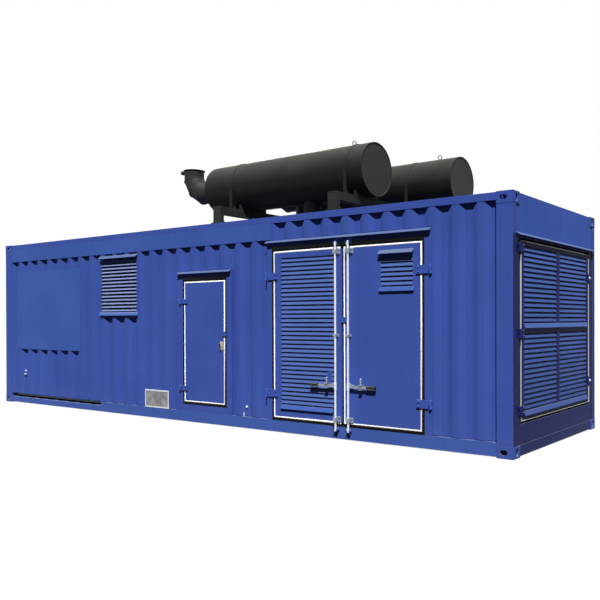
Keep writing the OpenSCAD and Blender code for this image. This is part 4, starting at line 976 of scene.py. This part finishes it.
class GENERATOR_OT_stage(bpy.types.Operator):
    """Sets the pale floor, the soft light and the camera"""
    bl_idname = "generator.stage"
    bl_label = "Stage"

    def execute(self, context):
        self.floor()
        self.world(context.scene)
        self.lamps(context.scene)
        self.camera(context.scene)
        context.scene.view_settings.view_transform = "Standard"
        return {"FINISHED"}

    def floor(self):
        clear_selection()
        bpy.ops.mesh.primitive_circle_add(vertices=96, radius=FLOOR_R, fill_type="NGON",
                                          location=(0, 0, -FLOOR_DROP))
        ground = bpy.context.active_object
        ground.name = "studio_floor"
        tree, shader, place = start_material("studio_floor")
        # Matt studio floor: the camera and mirrors see it near white, with the object's shadow,
        # dark under the container, and it throws little light back at the object
        seen = self.seen_directly(tree)
        at = axes(tree, place)
        under = [reckon(tree, "COMPARE", at[axis], 0.0, reach - UNDER_IN)
                 for axis, reach in (("X", END_X), ("Y", -FACE_Y))]
        clear = span(tree, reckon(tree, "MULTIPLY", *under), 0.0, 1.0, 1.0, 0.0)
        glow = reckon(tree, "MULTIPLY", reckon(tree, "MULTIPLY", seen, FLOOR_GLOW), clear)
        connect(tree, shader, Base_Color=span(tree, seen, 0.0, 1.0, FLOOR_BOUNCE, FLOOR_SHADE),
                Emission_Strength=glow)
        shader.inputs["Roughness"].default_value = 0.9
        shader.inputs["Specular IOR Level"].default_value = 0.0
        shader.inputs["Emission Color"].default_value = (1, 1, 1, 1)
        ground.data.materials.append(finish_of("studio_floor"))

    def seen_directly(self, tree):
        """One where the camera or a mirror looks, zero where light only bounces."""
        rays = add(tree, "ShaderNodeLightPath")
        seen = rays.outputs["Is Camera Ray"]
        for other in ("Is Glossy Ray", "Is Transmission Ray"):
            seen = reckon(tree, "MAXIMUM", seen, rays.outputs[other])
        return seen

    def world(self, scene):
        sky = bpy.data.worlds.new("studio_world")
        sky.use_nodes = True
        tree = sky.node_tree
        tree.nodes.clear()
        seen = self.seen_directly(tree)
        # A warm fill, so that blue paint in shade stays a neutral dark
        fill = blend(tree, seen, (1, 0.62, 0.3, 1), (1, 1, 1, 1))
        light = add(tree, "ShaderNodeBackground",
                    {"Color": fill, "Strength": span(tree, seen, 0.0, 1.0, WORLD_FILL, 1.0)})
        add(tree, "ShaderNodeOutputWorld", {"Surface": light.outputs[0]})
        scene.world = sky

    def lamps(self, scene):
        # Each sun: strength, width of its disc in degrees, direction of its light
        for name, energy, soft, towards in (
                ("key_lamp", 6.25, 3, (-0.335, 0.478, -0.812)),
                ("back_lamp", 3.0, 12, (0.68, -0.68, -0.27))):
            light = bpy.data.lights.new(name, "SUN")
            light.energy = energy
            light.angle = math.radians(soft)
            lamp = bpy.data.objects.new(name, light)
            scene.collection.objects.link(lamp)
            lamp.rotation_euler = Vector(towards).to_track_quat("-Z", "Y").to_euler()
            lamp.location = Vector(towards) * -LAMP_FAR

    def camera(self, scene):
        made = bpy.data.cameras.new("photo_camera")
        made.sensor_width = SENSOR_W
        made.lens = FOCAL_PX * SENSOR_W / PHOTO_PX
        made.shift_x, made.shift_y = SHIFT
        made.clip_end = FAR_CLIP
        eye = bpy.data.objects.new("photo_camera", made)
        scene.collection.objects.link(eye)
        forward = Vector((-math.sin(YAW) * math.cos(PITCH), math.cos(YAW) * math.cos(PITCH),
                          math.sin(PITCH)))
        turn = forward.to_track_quat("-Z", "Y").to_matrix().to_4x4()
        eye.matrix_world = Matrix.Translation(EYE) @ turn @ Matrix.Rotation(ROLL, 4, "Z")
        scene.camera = eye


class GENERATOR_PT_panel(bpy.types.Panel):
    """Lists the generator's colours, sizes and steps"""
    bl_idname = "GENERATOR_PT_panel"
    bl_label = "Generator"
    bl_space_type = "VIEW_3D"
    bl_region_type = "UI"
    bl_category = "Generator"

    def draw(self, context):
        for group in (context.scene.generator_colours, context.scene.generator_sizes):
            for key in group.bl_rna.properties.keys():
                if key not in ("rna_type", "name"):
                    self.layout.prop(group, key)
        for step in STEPS:
            self.layout.operator(step.bl_idname)


STEPS = (GENERATOR_OT_finishes, GENERATOR_OT_seals, GENERATOR_OT_gaskets, GENERATOR_OT_fasteners,
         GENERATOR_OT_hinge_pins, GENERATOR_OT_grips, GENERATOR_OT_lock_plate, GENERATOR_OT_wall_fittings,
         GENERATOR_OT_hood_closure, GENERATOR_OT_beam_caps, GENERATOR_OT_welds, GENERATOR_OT_stage)
CLASSES = (GeneratorColours, GeneratorSizes, *STEPS, GENERATOR_PT_panel)


def register():
    for item in CLASSES:
        bpy.utils.register_class(item)
    bpy.types.Scene.generator_colours = PointerProperty(type=GeneratorColours)
    bpy.types.Scene.generator_sizes = PointerProperty(type=GeneratorSizes)


def unregister():
    del bpy.types.Scene.generator_sizes
    del bpy.types.Scene.generator_colours
    for item in reversed(CLASSES):
        bpy.utils.unregister_class(item)


def main():
    register()
    for step in STEPS:
        group, name = step.bl_idname.split(".")
        getattr(getattr(bpy.ops, group), name)()


if __name__ == "__main__":
    main()
